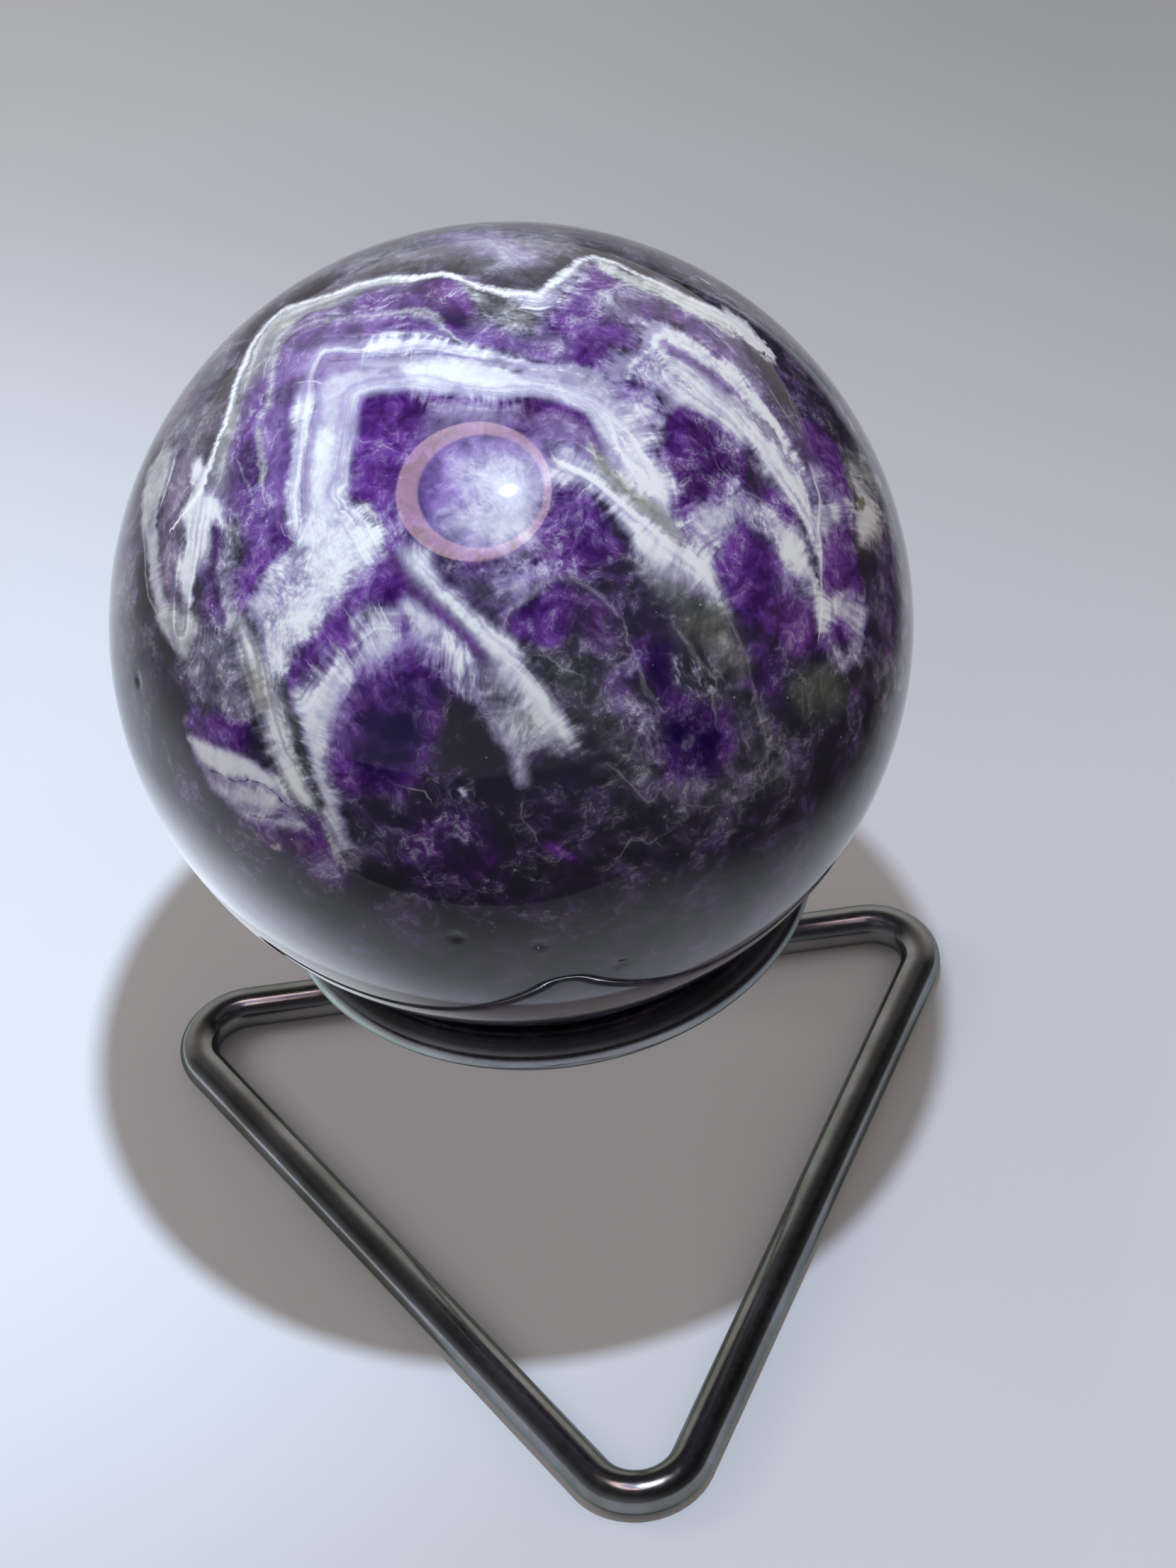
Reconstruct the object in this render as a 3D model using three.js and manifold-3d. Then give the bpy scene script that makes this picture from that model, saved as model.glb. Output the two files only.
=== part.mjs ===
// A polished ball of banded amethyst, resting in the ring of a stand bent from round metal rod.
// Units are millimetres and +Z is up. The origin is on the table, under the middle of the object's box.

import * as THREE from 'three';
import { mergeVertices } from 'three/addons/utils/BufferGeometryUtils.js';
import Module from 'manifold-3d';

// Driving dimensions. Places are measured from the ball's vertical axis, with the stand's front corner towards -Y.
const BALL_RADIUS = 30;
const ROD_RADIUS = 1.75;
const RING_RADIUS = 19.45; // from the ball's axis to the centre line of the ring's rod
const RING_HEIGHT = 34.7; // the centre line of the ring's rod above the table
const BASE_BEND_RADIUS = 4.6; // the rod's centre line at the base's three bends
const SEAT_CLEARANCE = 0.25; // between the ball and the ring that carries it
const JOINT_CLEARANCE = 0.3; // between the upright's ends and the rods that it joins

// Where the centre lines of the base's three sides cross, in order round the triangle. It is bent by hand,
// so its sides aren't quite equal.
const BASE_CORNERS = [
  new THREE.Vector2(0.6, -42), // front
  new THREE.Vector2(34.7, 20.4), // right rear
  new THREE.Vector2(-36.5, 21.6), // left rear
];

// Facets
const BALL_MERIDIANS = 64;
const BALL_PARALLELS = 32;
const ROD_SIDES = 16;
const RING_STEPS = 64;
const BEND_STEPS = 10;

const wasm = await Module();
wasm.setup();

const amethyst = new THREE.MeshStandardMaterial({ color: 0x4a3f5c, roughness: 0.06, metalness: 0 });
const ringMetal = new THREE.MeshStandardMaterial({ color: 0x4c4a4d, roughness: 0.14, metalness: 1 });
const uprightMetal = ringMetal.clone();
const baseMetal = ringMetal.clone();

// The rod's section is a regular polygon that stands on one of its flats, so that the base rests on a flat face.
// The flats are one rod radius from the centre line, and the corners a little further out.
const sectionAngle = (side) => ((side + 0.5) / ROD_SIDES) * 2 * Math.PI;
const cornerRadius = (flatRadius) => flatRadius / Math.cos(Math.PI / ROD_SIDES);

function ballGeometry() {
  const geometry = new THREE.SphereGeometry(BALL_RADIUS, BALL_MERIDIANS, BALL_PARALLELS);
  geometry.rotateX(Math.PI / 2);
  return geometry;
}

// One bend of the base: places along its centre line, each with the direction that points out of the triangle.
function bendStations(index) {
  const count = BASE_CORNERS.length;
  const corner = BASE_CORNERS[index];
  const before = BASE_CORNERS[(index + count - 1) % count].clone().sub(corner).normalize();
  const after = BASE_CORNERS[(index + 1) % count].clone().sub(corner).normalize();
  const inward = before.clone().add(after).normalize();
  const halfAngle = Math.acos(before.dot(after)) / 2;
  const centre = corner.clone().addScaledVector(inward, BASE_BEND_RADIUS / Math.sin(halfAngle));
  const turn = Math.PI - 2 * halfAngle;
  const middle = Math.atan2(-inward.y, -inward.x);
  const stations = [];
  for (let step = 0; step <= BEND_STEPS; step += 1) {
    const angle = middle + turn * (step / BEND_STEPS - 0.5);
    const outward = new THREE.Vector2(Math.cos(angle), Math.sin(angle));
    stations.push({ place: centre.clone().addScaledVector(outward, BASE_BEND_RADIUS), outward });
  }
  return stations;
}

// The base: a closed loop of rod that runs straight between its three bends.
function baseGeometry(flatRadius) {
  const stations = BASE_CORNERS.flatMap((corner, index) => bendStations(index));
  const radius = cornerRadius(flatRadius);
  const positions = [];
  const faces = [];
  stations.forEach(({ place, outward }, station) => {
    const next = (station + 1) % stations.length;
    for (let side = 0; side < ROD_SIDES; side += 1) {
      const angle = sectionAngle(side);
      const out = radius * Math.cos(angle);
      positions.push(place.x + out * outward.x, place.y + out * outward.y, ROD_RADIUS + radius * Math.sin(angle));
      const a = station * ROD_SIDES + side;
      const b = station * ROD_SIDES + ((side + 1) % ROD_SIDES);
      const c = next * ROD_SIDES + ((side + 1) % ROD_SIDES);
      const d = next * ROD_SIDES + side;
      faces.push(a, d, c, a, c, b);
    }
  });
  const geometry = new THREE.BufferGeometry();
  geometry.setAttribute('position', new THREE.Float32BufferAttribute(positions, 3));
  geometry.setIndex(faces);
  return geometry;
}

function ringGeometry(flatRadius) {
  const section = [];
  for (let side = 0; side <= ROD_SIDES; side += 1) {
    const angle = sectionAngle(side);
    const radius = cornerRadius(flatRadius);
    section.push(new THREE.Vector2(RING_RADIUS + radius * Math.cos(angle), radius * Math.sin(angle)));
  }
  const geometry = new THREE.LatheGeometry(section, RING_STEPS);
  geometry.rotateX(Math.PI / 2);
  geometry.translate(0, 0, RING_HEIGHT);
  return geometry;
}

function solidFrom(geometry) {
  const bare = geometry.clone();
  bare.deleteAttribute('normal');
  bare.deleteAttribute('uv');
  const merged = mergeVertices(bare);
  const mesh = new wasm.Mesh({
    numProp: 3,
    vertProperties: new Float32Array(merged.attributes.position.array),
    triVerts: new Uint32Array(merged.index.array),
  });
  return new wasm.Manifold(mesh);
}

function geometryFrom(solid) {
  const mesh = solid.getMesh();
  const geometry = new THREE.BufferGeometry();
  geometry.setAttribute('position', new THREE.BufferAttribute(mesh.vertProperties, 3));
  geometry.setIndex(new THREE.BufferAttribute(mesh.triVerts, 1));
  return geometry;
}

// The upright: a rod from the middle of the base's rear side to the rear of the ring, with both ends coped
// to sit on the rods that they meet.
function uprightGeometry() {
  const [, right, left] = BASE_CORNERS;
  const across = right.x / (right.x - left.x);
  const foot = new THREE.Vector3(0, THREE.MathUtils.lerp(right.y, left.y, across), ROD_RADIUS);
  const head = new THREE.Vector3(0, RING_RADIUS, RING_HEIGHT);
  const rise = head.clone().sub(foot);
  const rod = new THREE.CylinderGeometry(ROD_RADIUS, ROD_RADIUS, rise.length(), ROD_SIDES);
  rod.applyQuaternion(new THREE.Quaternion().setFromUnitVectors(THREE.Object3D.DEFAULT_UP, rise.clone().normalize()));
  const middle = foot.clone().lerp(head, 0.5);
  rod.translate(middle.x, middle.y, middle.z);
  const coped = solidFrom(rod)
    .subtract(solidFrom(baseGeometry(ROD_RADIUS + JOINT_CLEARANCE)))
    .subtract(solidFrom(ringGeometry(ROD_RADIUS + JOINT_CLEARANCE)));
  return geometryFrom(coped);
}

function namedMesh(name, geometry, material) {
  const mesh = new THREE.Mesh(geometry, material);
  mesh.name = name;
  return mesh;
}

const ball = namedMesh('amethyst_sphere', ballGeometry(), amethyst);
const seatDistance = BALL_RADIUS + cornerRadius(ROD_RADIUS) + SEAT_CLEARANCE;
ball.position.z = RING_HEIGHT + Math.sqrt(seatDistance ** 2 - RING_RADIUS ** 2);

const group = new THREE.Group();
group.add(
  ball,
  namedMesh('stand_ring', ringGeometry(ROD_RADIUS), ringMetal),
  namedMesh('stand_upright', uprightGeometry(), uprightMetal),
  namedMesh('stand_base', baseGeometry(ROD_RADIUS), baseMetal),
);

// Bring the middle of the object's box over the origin.
const middle = new THREE.Box3().setFromObject(group).getCenter(new THREE.Vector3());
group.position.set(-middle.x, -middle.y, 0);

export default group;
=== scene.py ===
"""A polished ball of banded amethyst in the ring of a small stand bent from round metal rod.

The ball's markings were traced from the photograph, mark by mark. Each mark is an outline or a line in
the photograph's pixels, which is cast onto the ball through the camera's known place.
"""

import math

import bpy
import numpy as np
from bpy.props import FloatProperty, FloatVectorProperty, IntProperty, PointerProperty
from mathutils import Matrix, Vector, noise


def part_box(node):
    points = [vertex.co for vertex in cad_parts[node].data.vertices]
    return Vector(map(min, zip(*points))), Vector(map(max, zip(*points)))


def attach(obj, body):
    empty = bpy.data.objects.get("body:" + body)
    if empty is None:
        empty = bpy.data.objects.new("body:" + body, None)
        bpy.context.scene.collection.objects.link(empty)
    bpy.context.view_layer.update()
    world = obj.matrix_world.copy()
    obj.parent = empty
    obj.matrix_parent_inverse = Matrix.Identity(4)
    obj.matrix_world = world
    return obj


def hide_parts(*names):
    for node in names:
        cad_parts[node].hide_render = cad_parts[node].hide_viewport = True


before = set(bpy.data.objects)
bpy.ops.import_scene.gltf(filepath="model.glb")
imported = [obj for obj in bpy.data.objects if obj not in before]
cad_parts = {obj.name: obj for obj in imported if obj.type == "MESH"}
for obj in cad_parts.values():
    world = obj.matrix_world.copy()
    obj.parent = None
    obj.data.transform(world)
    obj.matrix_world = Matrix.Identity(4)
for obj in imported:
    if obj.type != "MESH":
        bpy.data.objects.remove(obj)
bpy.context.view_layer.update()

bl_info = {
    "name": "Amethyst Ball on a Rod Stand",
    "version": (1, 0, 0),
    "blender": (4, 5, 0),
    "location": "3D View > Sidebar > Amethyst",
    "description": "Adds a polished ball of banded amethyst and the bent rod stand that carries it",
    "category": "Add Mesh",
}

MM = 0.001

# The photograph's frame, and the camera found from the ball's outline and the stand's straight rods
PHOTO_WIDTH = 1659
PHOTO_HEIGHT = 2212
FOCAL_PIXELS = 5200.0
CAMERA_FROM_AXIS = Vector((0.26, -210.3, 239.7)) * MM  # from the ball's axis, above the table
CAMERA_YAW = math.radians(1.037)
CAMERA_PITCH = math.radians(43.088)
CAMERA_ROLL = math.radians(7.629)
SENSOR_LONG_SIDE = 36.0  # mm

BALL_LOW, BALL_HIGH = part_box("amethyst_sphere")
BALL_CENTRE = (BALL_LOW + BALL_HIGH) / 2
BALL_RADIUS = (BALL_HIGH.x - BALL_LOW.x) / 2
AXIS = Vector((BALL_CENTRE.x, BALL_CENTRE.y, 0.0))

# The stand's sizes, as in the CAD source. Corners are where the base's centre lines cross, from the ball's axis.
BASE_CORNERS = (Vector((0.6, -42.0, 0.0)) * MM, Vector((34.7, 20.4, 0.0)) * MM, Vector((-36.5, 21.6, 0.0)) * MM)


def linear(hex_colour):
    """An sRGB hex colour as linear red, green, blue and alpha."""
    parts = [int(hex_colour[i : i + 2], 16) / 255 for i in (1, 3, 5)]
    return tuple(p / 12.92 if p <= 0.04045 else ((p + 0.055) / 1.055) ** 2.4 for p in parts) + (1.0,)


def colour(name, description, hex_colour):
    return FloatVectorProperty(
        name=name, description=description, subtype="COLOR", size=4, min=0, max=1, default=linear(hex_colour)
    )


def length(name, description, metres):
    return FloatProperty(name=name, description=description, default=metres, min=0, unit="LENGTH", precision=5)


class StoneSettings(bpy.types.PropertyGroup):
    radius: length("Radius", "Radius of the polished ball", BALL_RADIUS)
    hand_polish: length("Hand polish", "How far the polished surface dips below a true ball", 0.05 * MM)
    clear_dark: colour("Clear quartz", "Clear quartz with dark behind it", "#2C2934")
    grey_green: colour("Grey-green quartz", "Clear quartz with a grey-green cast", "#5C6159")
    violet: colour("Violet", "Amethyst", "#7D40A2")
    violet_dark: colour("Dark violet", "Amethyst in shade", "#341052")
    indigo: colour("Indigo", "The deepest amethyst", "#160739")
    rose: colour("Rose", "Reddish amethyst", "#64325F")
    lilac: colour("Lilac", "Thin milky quartz over amethyst", "#A89EB6")
    white: colour("Milky quartz", "The white bands", "#E2DFDA")
    line_white: colour("White lines", "The thickest milk, in thin lines", "#F4F2EC")
    cream: colour("Cream", "Warm milky quartz beside the white lines", "#B2B3A4")
    ochre: colour("Ochre", "Iron stain", "#8E7F4E")


class StandSettings(bpy.types.PropertyGroup):
    rod_radius: length("Rod radius", "Radius of the round rod", 1.75 * MM)
    ring_radius: length("Ring radius", "From the axis to the centre line of the ring's rod", 19.45 * MM)
    ring_height: length("Ring height", "Centre line of the ring above the table", 34.7 * MM)
    bend_radius: length("Bend radius", "Centre line of the base's three bends", 4.6 * MM)
    braze: length("Braze", "How far the fillet of braze stands out round the upright's ends", 0.55 * MM)
    metal: colour("Plating", "Gunmetal plating", "#9C9C9E")
    metal_brown: colour("Brown plating", "Browner patches of the plating", "#828380")
    edge_tint: colour("Edge tint", "What the plating turns to at a grazing angle", "#B9C9C2")
    rod_sides: IntProperty(name="Rod sides", description="Facets round the rod", default=32, min=12, max=64)


class StageSettings(bpy.types.PropertyGroup):
    paper: colour("Paper", "White paper on the table", "#EDEEF0")
    key_power: FloatProperty(name="Lamp", description="Power of the lamp above the ball", default=0.5, unit="POWER")
    fill_power: FloatProperty(name="Window", description="Power of the light from the left", default=0.055, unit="POWER")
    side_power: FloatProperty(name="Side", description="Power of the light from the right", default=0.018, unit="POWER")
    room: FloatProperty(name="Room", description="Brightness of the room's own light", default=0.245)


# ---- Where a pixel of the photograph falls on the ball ----

FORWARD = Vector(
    (
        math.sin(CAMERA_YAW) * math.cos(CAMERA_PITCH),
        math.cos(CAMERA_YAW) * math.cos(CAMERA_PITCH),
        -math.sin(CAMERA_PITCH),
    )
)
LEVEL_RIGHT = Vector((math.cos(CAMERA_YAW), -math.sin(CAMERA_YAW), 0.0))
LEVEL_DOWN = FORWARD.cross(LEVEL_RIGHT)
RIGHT = math.cos(CAMERA_ROLL) * LEVEL_RIGHT + math.sin(CAMERA_ROLL) * LEVEL_DOWN
DOWN = -math.sin(CAMERA_ROLL) * LEVEL_RIGHT + math.cos(CAMERA_ROLL) * LEVEL_DOWN
CAMERA = AXIS + CAMERA_FROM_AXIS


def to_photo(points):
    """Pixels of the photograph that points (n, 3) fall on."""
    seen = points - np.array(CAMERA)
    depth = seen @ np.array(FORWARD)
    return np.stack(
        (
            PHOTO_WIDTH / 2 + FOCAL_PIXELS * (seen @ np.array(RIGHT)) / depth,
            PHOTO_HEIGHT / 2 + FOCAL_PIXELS * (seen @ np.array(DOWN)) / depth,
        ),
        axis=1,
    )


def on_ball(pixels):
    """The points of the ball that pixels (n, 2) of the photograph show."""
    u = (pixels[:, :1] - PHOTO_WIDTH / 2) / FOCAL_PIXELS
    v = (pixels[:, 1:] - PHOTO_HEIGHT / 2) / FOCAL_PIXELS
    ray = np.array(FORWARD) + u * np.array(RIGHT) + v * np.array(DOWN)
    ray /= np.linalg.norm(ray, axis=1)[:, None]
    away = np.array(CAMERA - BALL_CENTRE)
    along = ray @ away
    inside = np.maximum(along**2 - away @ away + BALL_RADIUS**2, 0.0)
    point = away + (-along - np.sqrt(inside))[:, None] * ray
    return np.array(BALL_CENTRE) + point * (BALL_RADIUS / np.linalg.norm(point, axis=1))[:, None]


# ---- The markings ----
# A patch is its name, how soft its edge is in mm, what it sets, and its outline. What it sets is from 0 to 1:
# milk (white quartz), violet, indigo, green (grey-green quartz), rose, ochre, fibre (how far streaks break its
# edge) and fleck (how full of small flaws it is). Later patches lie over earlier ones.

ZIGZAG = [
    (246, 742), (262, 722), (276, 704), (284, 685), (301, 635), (315, 600), (325, 569), (336, 535), (348, 500),
    (359, 479), (378, 454), (401, 435), (432, 425), (467, 415), (501, 402), (548, 394), (586, 392), (621, 385),
    (651, 390), (678, 404), (709, 411), (746, 415), (758, 419), (777, 402), (800, 383), (819, 367), (842, 363),
    (869, 371), (900, 386), (931, 398), (961, 415), (992, 431), (1019, 444), (1038, 454), (1058, 469),
    (1073, 488), (1088, 508),
]
BAND_OUTER_EDGE = [
    (405, 746), (401, 704), (409, 665), (413, 627), (411, 592), (419, 561), (425, 531), (436, 504), (448, 488),
    (478, 483), (513, 481), (544, 475), (594, 473), (636, 479), (678, 488), (740, 500), (777, 500), (815, 515),
    (846, 527), (861, 546), (885, 585),
]
BAND_MIDDLE_LINE = [
    (426, 723), (428, 665), (436, 608), (444, 569), (448, 531), (451, 510), (475, 510), (509, 504), (551, 500),
    (636, 500), (678, 504), (709, 511),
]
BAND_UPPER_EDGE = [
    (750, 523), (800, 535), (842, 554), (873, 577), (900, 604), (919, 638), (938, 677), (950, 735),
]
BAND_INNER_EDGE = [
    (946, 731), (915, 704), (892, 673), (865, 646), (850, 615), (827, 585), (792, 569), (750, 558), (697, 563),
    (659, 560), (621, 554), (582, 552), (548, 556), (525, 560), (509, 565), (507, 588), (505, 627), (500, 665),
    (494, 708),
]
PEAK_OUTER_EDGE = [
    (885, 588), (865, 538), (873, 508), (904, 481), (931, 458), (961, 465), (992, 485), (1019, 508), (1050, 535),
    (1069, 561), (1096, 600), (1119, 631), (1135, 658), (1146, 688), (1154, 735), (1160, 781),
]
PEAK_INNER_EDGE = [
    (1158, 792), (1142, 742), (1123, 708), (1100, 677), (1077, 646), (1054, 619), (1031, 592), (992, 561),
    (954, 531),
]
LILAC_LINE = [
    (371, 704), (365, 661), (371, 627), (367, 592), (380, 569), (386, 538), (394, 504), (405, 473), (432, 458),
    (467, 450), (501, 444), (548, 442), (594, 442), (613, 448),
]

PATCHES = (
    ("rim quartz", 1.4, dict(green=0.45, violet=0.2, indigo=0.0, milk=0.4, fibre=0.3, fleck=0.3),
     [(150, 900), (160, 760), (190, 650), (230, 560), (280, 480), (350, 405), (430, 355), (520, 325), (610, 312),
      (720, 306), (830, 315), (940, 338), (1040, 382), (1130, 445), (1200, 525), (1250, 615), (1280, 720),
      (1292, 860), (1275, 980), (1240, 1060), (1225, 930), (1250, 800), (1235, 700), (1200, 610), (1150, 530),
      (1088, 480), (1030, 435), (960, 398), (900, 372), (842, 348), (800, 368), (758, 402), (700, 392),
      (651, 375), (586, 380), (501, 390), (432, 412), (378, 438), (345, 480), (318, 545), (288, 640),
      (262, 700), (215, 640), (195, 700), (190, 800), (205, 900)]),
    ("plain foot", 1.0, dict(fleck=0.08, violet=0.2),
     [(250, 1170), (330, 1215), (400, 1250), (480, 1278), (600, 1300), (760, 1308), (880, 1284), (970, 1245),
      (1060, 1190), (1120, 1130), (1180, 1080), (1228, 1030), (1250, 960), (1275, 960), (1265, 1060), (1215, 1170),
      (1150, 1270), (1060, 1350), (960, 1400), (840, 1435), (720, 1445), (600, 1435), (480, 1395), (370, 1325),
      (290, 1245)]),
    ("top patch", 0.7, dict(milk=0.66, violet=0.6, rose=0.15, fibre=0.2, fleck=0.3, green=0.1),
     [(612, 332), (650, 328), (690, 326), (725, 343), (758, 368), (735, 374), (700, 356), (640, 346)]),
    ("between the zigzag and the bands", 0.6, dict(green=0.3, violet=0.5, milk=0.4, indigo=0.0, fibre=0.3, fleck=1.0),
     ZIGZAG + [(1130, 560), (1170, 640), (1195, 700), (1190, 790), (1160, 790), (1130, 660), (1060, 560),
               (992, 490), (931, 462), (873, 508), (885, 585), (777, 505), (640, 485), (480, 488), (440, 504),
               (411, 592), (405, 746), (360, 850), (330, 900), (290, 860), (262, 800), (262, 740)]),
    ("grey under the zigzag", 0.5, dict(milk=0.56, green=0.7, violet=0.15, fibre=0.2, fleck=0.8),
     [(300, 690), (301, 635), (315, 600), (325, 569), (336, 535), (348, 500), (359, 479), (378, 454), (401, 435),
      (432, 425), (467, 415), (501, 402), (548, 394), (590, 394), (575, 406), (520, 410), (498, 426), (465, 440),
      (432, 448), (402, 468), (380, 500), (362, 530), (346, 560), (336, 600), (322, 645), (312, 690)]),
    ("violet under the zigzag's left arm", 0.5, dict(violet=0.75, green=0.1, milk=0.22, indigo=0.1, fleck=1.0, fibre=0.1),
     [(346, 560), (362, 535), (384, 540), (378, 575), (366, 600), (364, 650), (372, 705), (398, 735), (412, 765),
      (395, 790), (370, 815), (352, 850), (335, 850), (336, 780), (328, 720), (322, 680), (330, 640), (340, 600)]),
    ("darkest under the left arm", 0.5, dict(violet=0.5, indigo=0.4, milk=0.03, green=0.05, fleck=0.7),
     [(342, 620), (362, 612), (365, 640), (362, 672), (345, 668), (338, 645)]),
    ("violet wedge by the feathers", 0.5, dict(violet=0.8, milk=0.22, green=0.0, fleck=0.3),
     [(340, 800), (362, 775), (400, 745), (412, 765), (392, 790), (372, 812), (355, 850), (342, 858), (334, 830)]),
    ("indigo in the wedge", 0.6, dict(violet=0.9, indigo=0.35, milk=0.1),
     [(362, 800), (385, 785), (380, 802), (366, 822)]),
    ("dark violet under the zigzag", 0.5, dict(violet=0.75, green=0.1, milk=0.22, indigo=0.1, fleck=1.0, fibre=0.15),
     [(402, 468), (432, 448), (465, 440), (498, 426), (520, 410), (575, 406), (598, 402), (618, 398), (650, 404),
      (664, 432), (656, 450), (620, 448), (594, 442), (548, 440), (501, 442), (467, 448), (432, 456)]),
    ("violet streak under the zigzag", 0.4, dict(violet=1.0, green=0.0, milk=0.16, rose=0.1),
     [(618, 398), (640, 396), (655, 410), (668, 432), (660, 441), (640, 440), (630, 425)]),
    ("dark beside the streak", 0.4, dict(violet=0.6, rose=0.4, milk=0.02, indigo=0.2),
     [(590, 406), (618, 401), (629, 424), (640, 441), (615, 440), (600, 428)]),
    ("grey-green right of the streak", 0.5, dict(milk=0.4, green=0.7, violet=0.1, fleck=0.9),
     [(655, 400), (690, 412), (740, 425), (760, 445), (745, 470), (715, 462), (690, 450), (668, 430)]),
    ("violet below the right peak", 0.5, dict(violet=0.8, green=0.1, milk=0.16, fibre=0.7, fleck=0.7),
     [(770, 440), (790, 418), (812, 398), (842, 378), (870, 388), (880, 400), (850, 412), (842, 425), (842, 445),
      (820, 452), (800, 470), (780, 462)]),
    ("lacy bump", 0.3, dict(violet=0.5, green=0.3, milk=0.48, fleck=0.9),
     [(842, 425), (852, 412), (880, 405), (905, 405), (925, 415), (945, 430), (930, 450), (905, 455), (885, 462),
      (868, 448), (850, 442)]),
    ("mauve strip of the right peak", 0.35, dict(violet=0.75, green=0.15, milk=0.3, rose=0.15, fibre=0.3, fleck=0.3),
     [(890, 425), (930, 425), (965, 440), (1000, 465), (1030, 490), (1040, 520), (1075, 560), (1100, 600),
      (1122, 640), (1108, 640), (1080, 600), (1050, 545), (1020, 515), (985, 485), (950, 460), (915, 450)]),
    ("clear strip right of the peak", 0.5, dict(violet=0.35, rose=0.3, green=0.3, milk=0.12, fleck=0.5),
     [(1062, 500), (1090, 515), (1115, 550), (1135, 590), (1142, 650), (1125, 625), (1100, 580), (1075, 535)]),
    ("zigzag's green side", 0.3, dict(milk=0.78, green=0.9, violet=0.05, fibre=0.6, fleck=0.1),
     [(842, 366), (865, 372), (885, 380), (905, 390), (925, 392), (945, 402), (975, 422), (1005, 438), (1028, 455),
      (1038, 476), (1015, 462), (990, 446), (960, 432), (930, 416), (900, 404), (872, 392), (845, 378)]),
    ("zigzag's broad end", 0.25, dict(milk=1.0, green=0.3, violet=0.1, fibre=0.9, fleck=0.1),
     [(1020, 432), (1036, 441), (1055, 455), (1068, 474), (1080, 492), (1097, 511), (1082, 506), (1066, 494),
      (1050, 482), (1036, 466), (1028, 450)]),
    ("violet-blue band", 0.35, dict(violet=0.95, green=0.0, milk=0.3, indigo=0.05, fleck=0.5, fibre=0.1),
     [(378, 714), (374, 661), (378, 627), (376, 598), (388, 572), (390, 545), (392, 515), (402, 485), (420, 466),
      (445, 458), (475, 453), (505, 446), (548, 444), (594, 444), (640, 456), (700, 468), (745, 490), (790, 506),
      (740, 500), (678, 486), (636, 479), (594, 473), (544, 475), (513, 479), (478, 483), (448, 488),
      (434, 506), (424, 531), (417, 561), (411, 592), (409, 640), (401, 680), (400, 730), (388, 735)]),
    ("dark wedge in the band", 0.25, dict(violet=0.8, indigo=0.4, milk=0.0, fleck=0.0),
     [(620, 443), (655, 446), (656, 458), (640, 460), (625, 452)]),
    ("veined end of the band", 0.5, dict(milk=0.45, violet=0.7, fleck=1.0),
     [(556, 446), (572, 446), (585, 472), (562, 474)]),
    ("blue-violet patch", 0.4, dict(violet=1.0, indigo=0.1, milk=0.14, green=0.0, fleck=0.2, fibre=0.3),
     [(803, 498), (818, 472), (838, 452), (862, 450), (882, 470), (876, 490), (856, 505), (840, 521), (828, 522),
      (814, 512)]),
    ("feather of the valley", 0.6, dict(milk=0.9, violet=0.2, fibre=0.9),
     [(723, 412), (758, 412), (785, 400), (812, 380), (806, 402), (784, 432), (766, 444), (745, 438),
      (732, 428)]),
    ("outer band, left arm", 0.3, dict(milk=0.96, violet=0.5, indigo=0.0, green=0.0, fibre=0.4, fleck=0.0),
     [(428, 548), (446, 556), (442, 600), (436, 640), (432, 700), (430, 760), (408, 746), (402, 704), (408, 665),
      (413, 627), (412, 592), (420, 561)]),
    ("outer band's corner", 0.4, dict(milk=0.74, violet=0.7, indigo=0.0, green=0.0, fibre=0.0, fleck=0.0),
     [(446, 492), (480, 485), (512, 482), (514, 505), (480, 505), (458, 508), (450, 535), (444, 562), (424, 556),
      (430, 520)]),
    ("outer band, top", 0.3, dict(milk=0.93, violet=0.4, indigo=0.0, green=0.0, fibre=0.7, fleck=0.0),
     [(512, 482), (528, 476), (560, 472), (600, 472), (640, 480), (690, 490), (740, 502), (790, 510), (825, 522),
      (850, 545), (842, 554), (800, 535), (750, 522), (700, 508), (640, 502), (560, 500), (514, 502)]),
    ("mauve corner", 0.25, dict(milk=0.52, violet=0.8, rose=0.3, fibre=0.0),
     [(455, 508), (470, 505), (500, 503), (503, 518), (478, 522), (462, 526), (452, 524)]),
    ("lilac stripe of the top", 0.3, dict(milk=0.7, violet=0.6, fibre=0.0, fleck=0.0),
     [(500, 503), (560, 501), (640, 502), (695, 507), (690, 512), (640, 508), (572, 510), (566, 524), (505, 520)]),
    ("grey between the bands", 0.4, dict(milk=0.7, green=0.6, violet=0.15, fibre=0.6, fleck=0.4),
     [(795, 518), (830, 528), (850, 548), (866, 572), (880, 592), (862, 580), (840, 558), (815, 540)]),
    ("bright edge of the valley", 0.25, dict(milk=1.0, violet=0.2, fibre=0.4, fleck=0.0),
     [(826, 520), (842, 522), (854, 536), (862, 556), (856, 560), (846, 544), (832, 532)]),
    ("main band", 0.3, dict(milk=0.74, violet=0.55, indigo=0.0, green=0.0, rose=0.0, fibre=0.05, fleck=0.0),
     [(430, 760), (434, 700), (440, 640), (446, 590), (449, 540), (470, 524), (505, 518), (566, 522), (572, 512),
      (640, 507), (700, 512), (750, 523), (800, 535), (842, 556), (873, 578), (887, 592), (912, 592), (913, 625),
      (914, 650), (926, 662), (938, 672), (946, 684), (938, 700), (943, 715), (948, 737), (932, 730), (912, 704),
      (888, 684), (868, 667), (852, 642), (846, 620), (827, 588), (792, 571), (750, 560), (697, 565), (659, 561),
      (621, 556), (582, 553), (548, 556), (525, 559), (510, 564), (508, 588), (505, 627), (500, 665), (494, 712),
      (520, 730)]),
    ("main band's brighter top", 0.35, dict(milk=0.95, green=0.15, violet=0.3, fibre=0.2),
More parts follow.
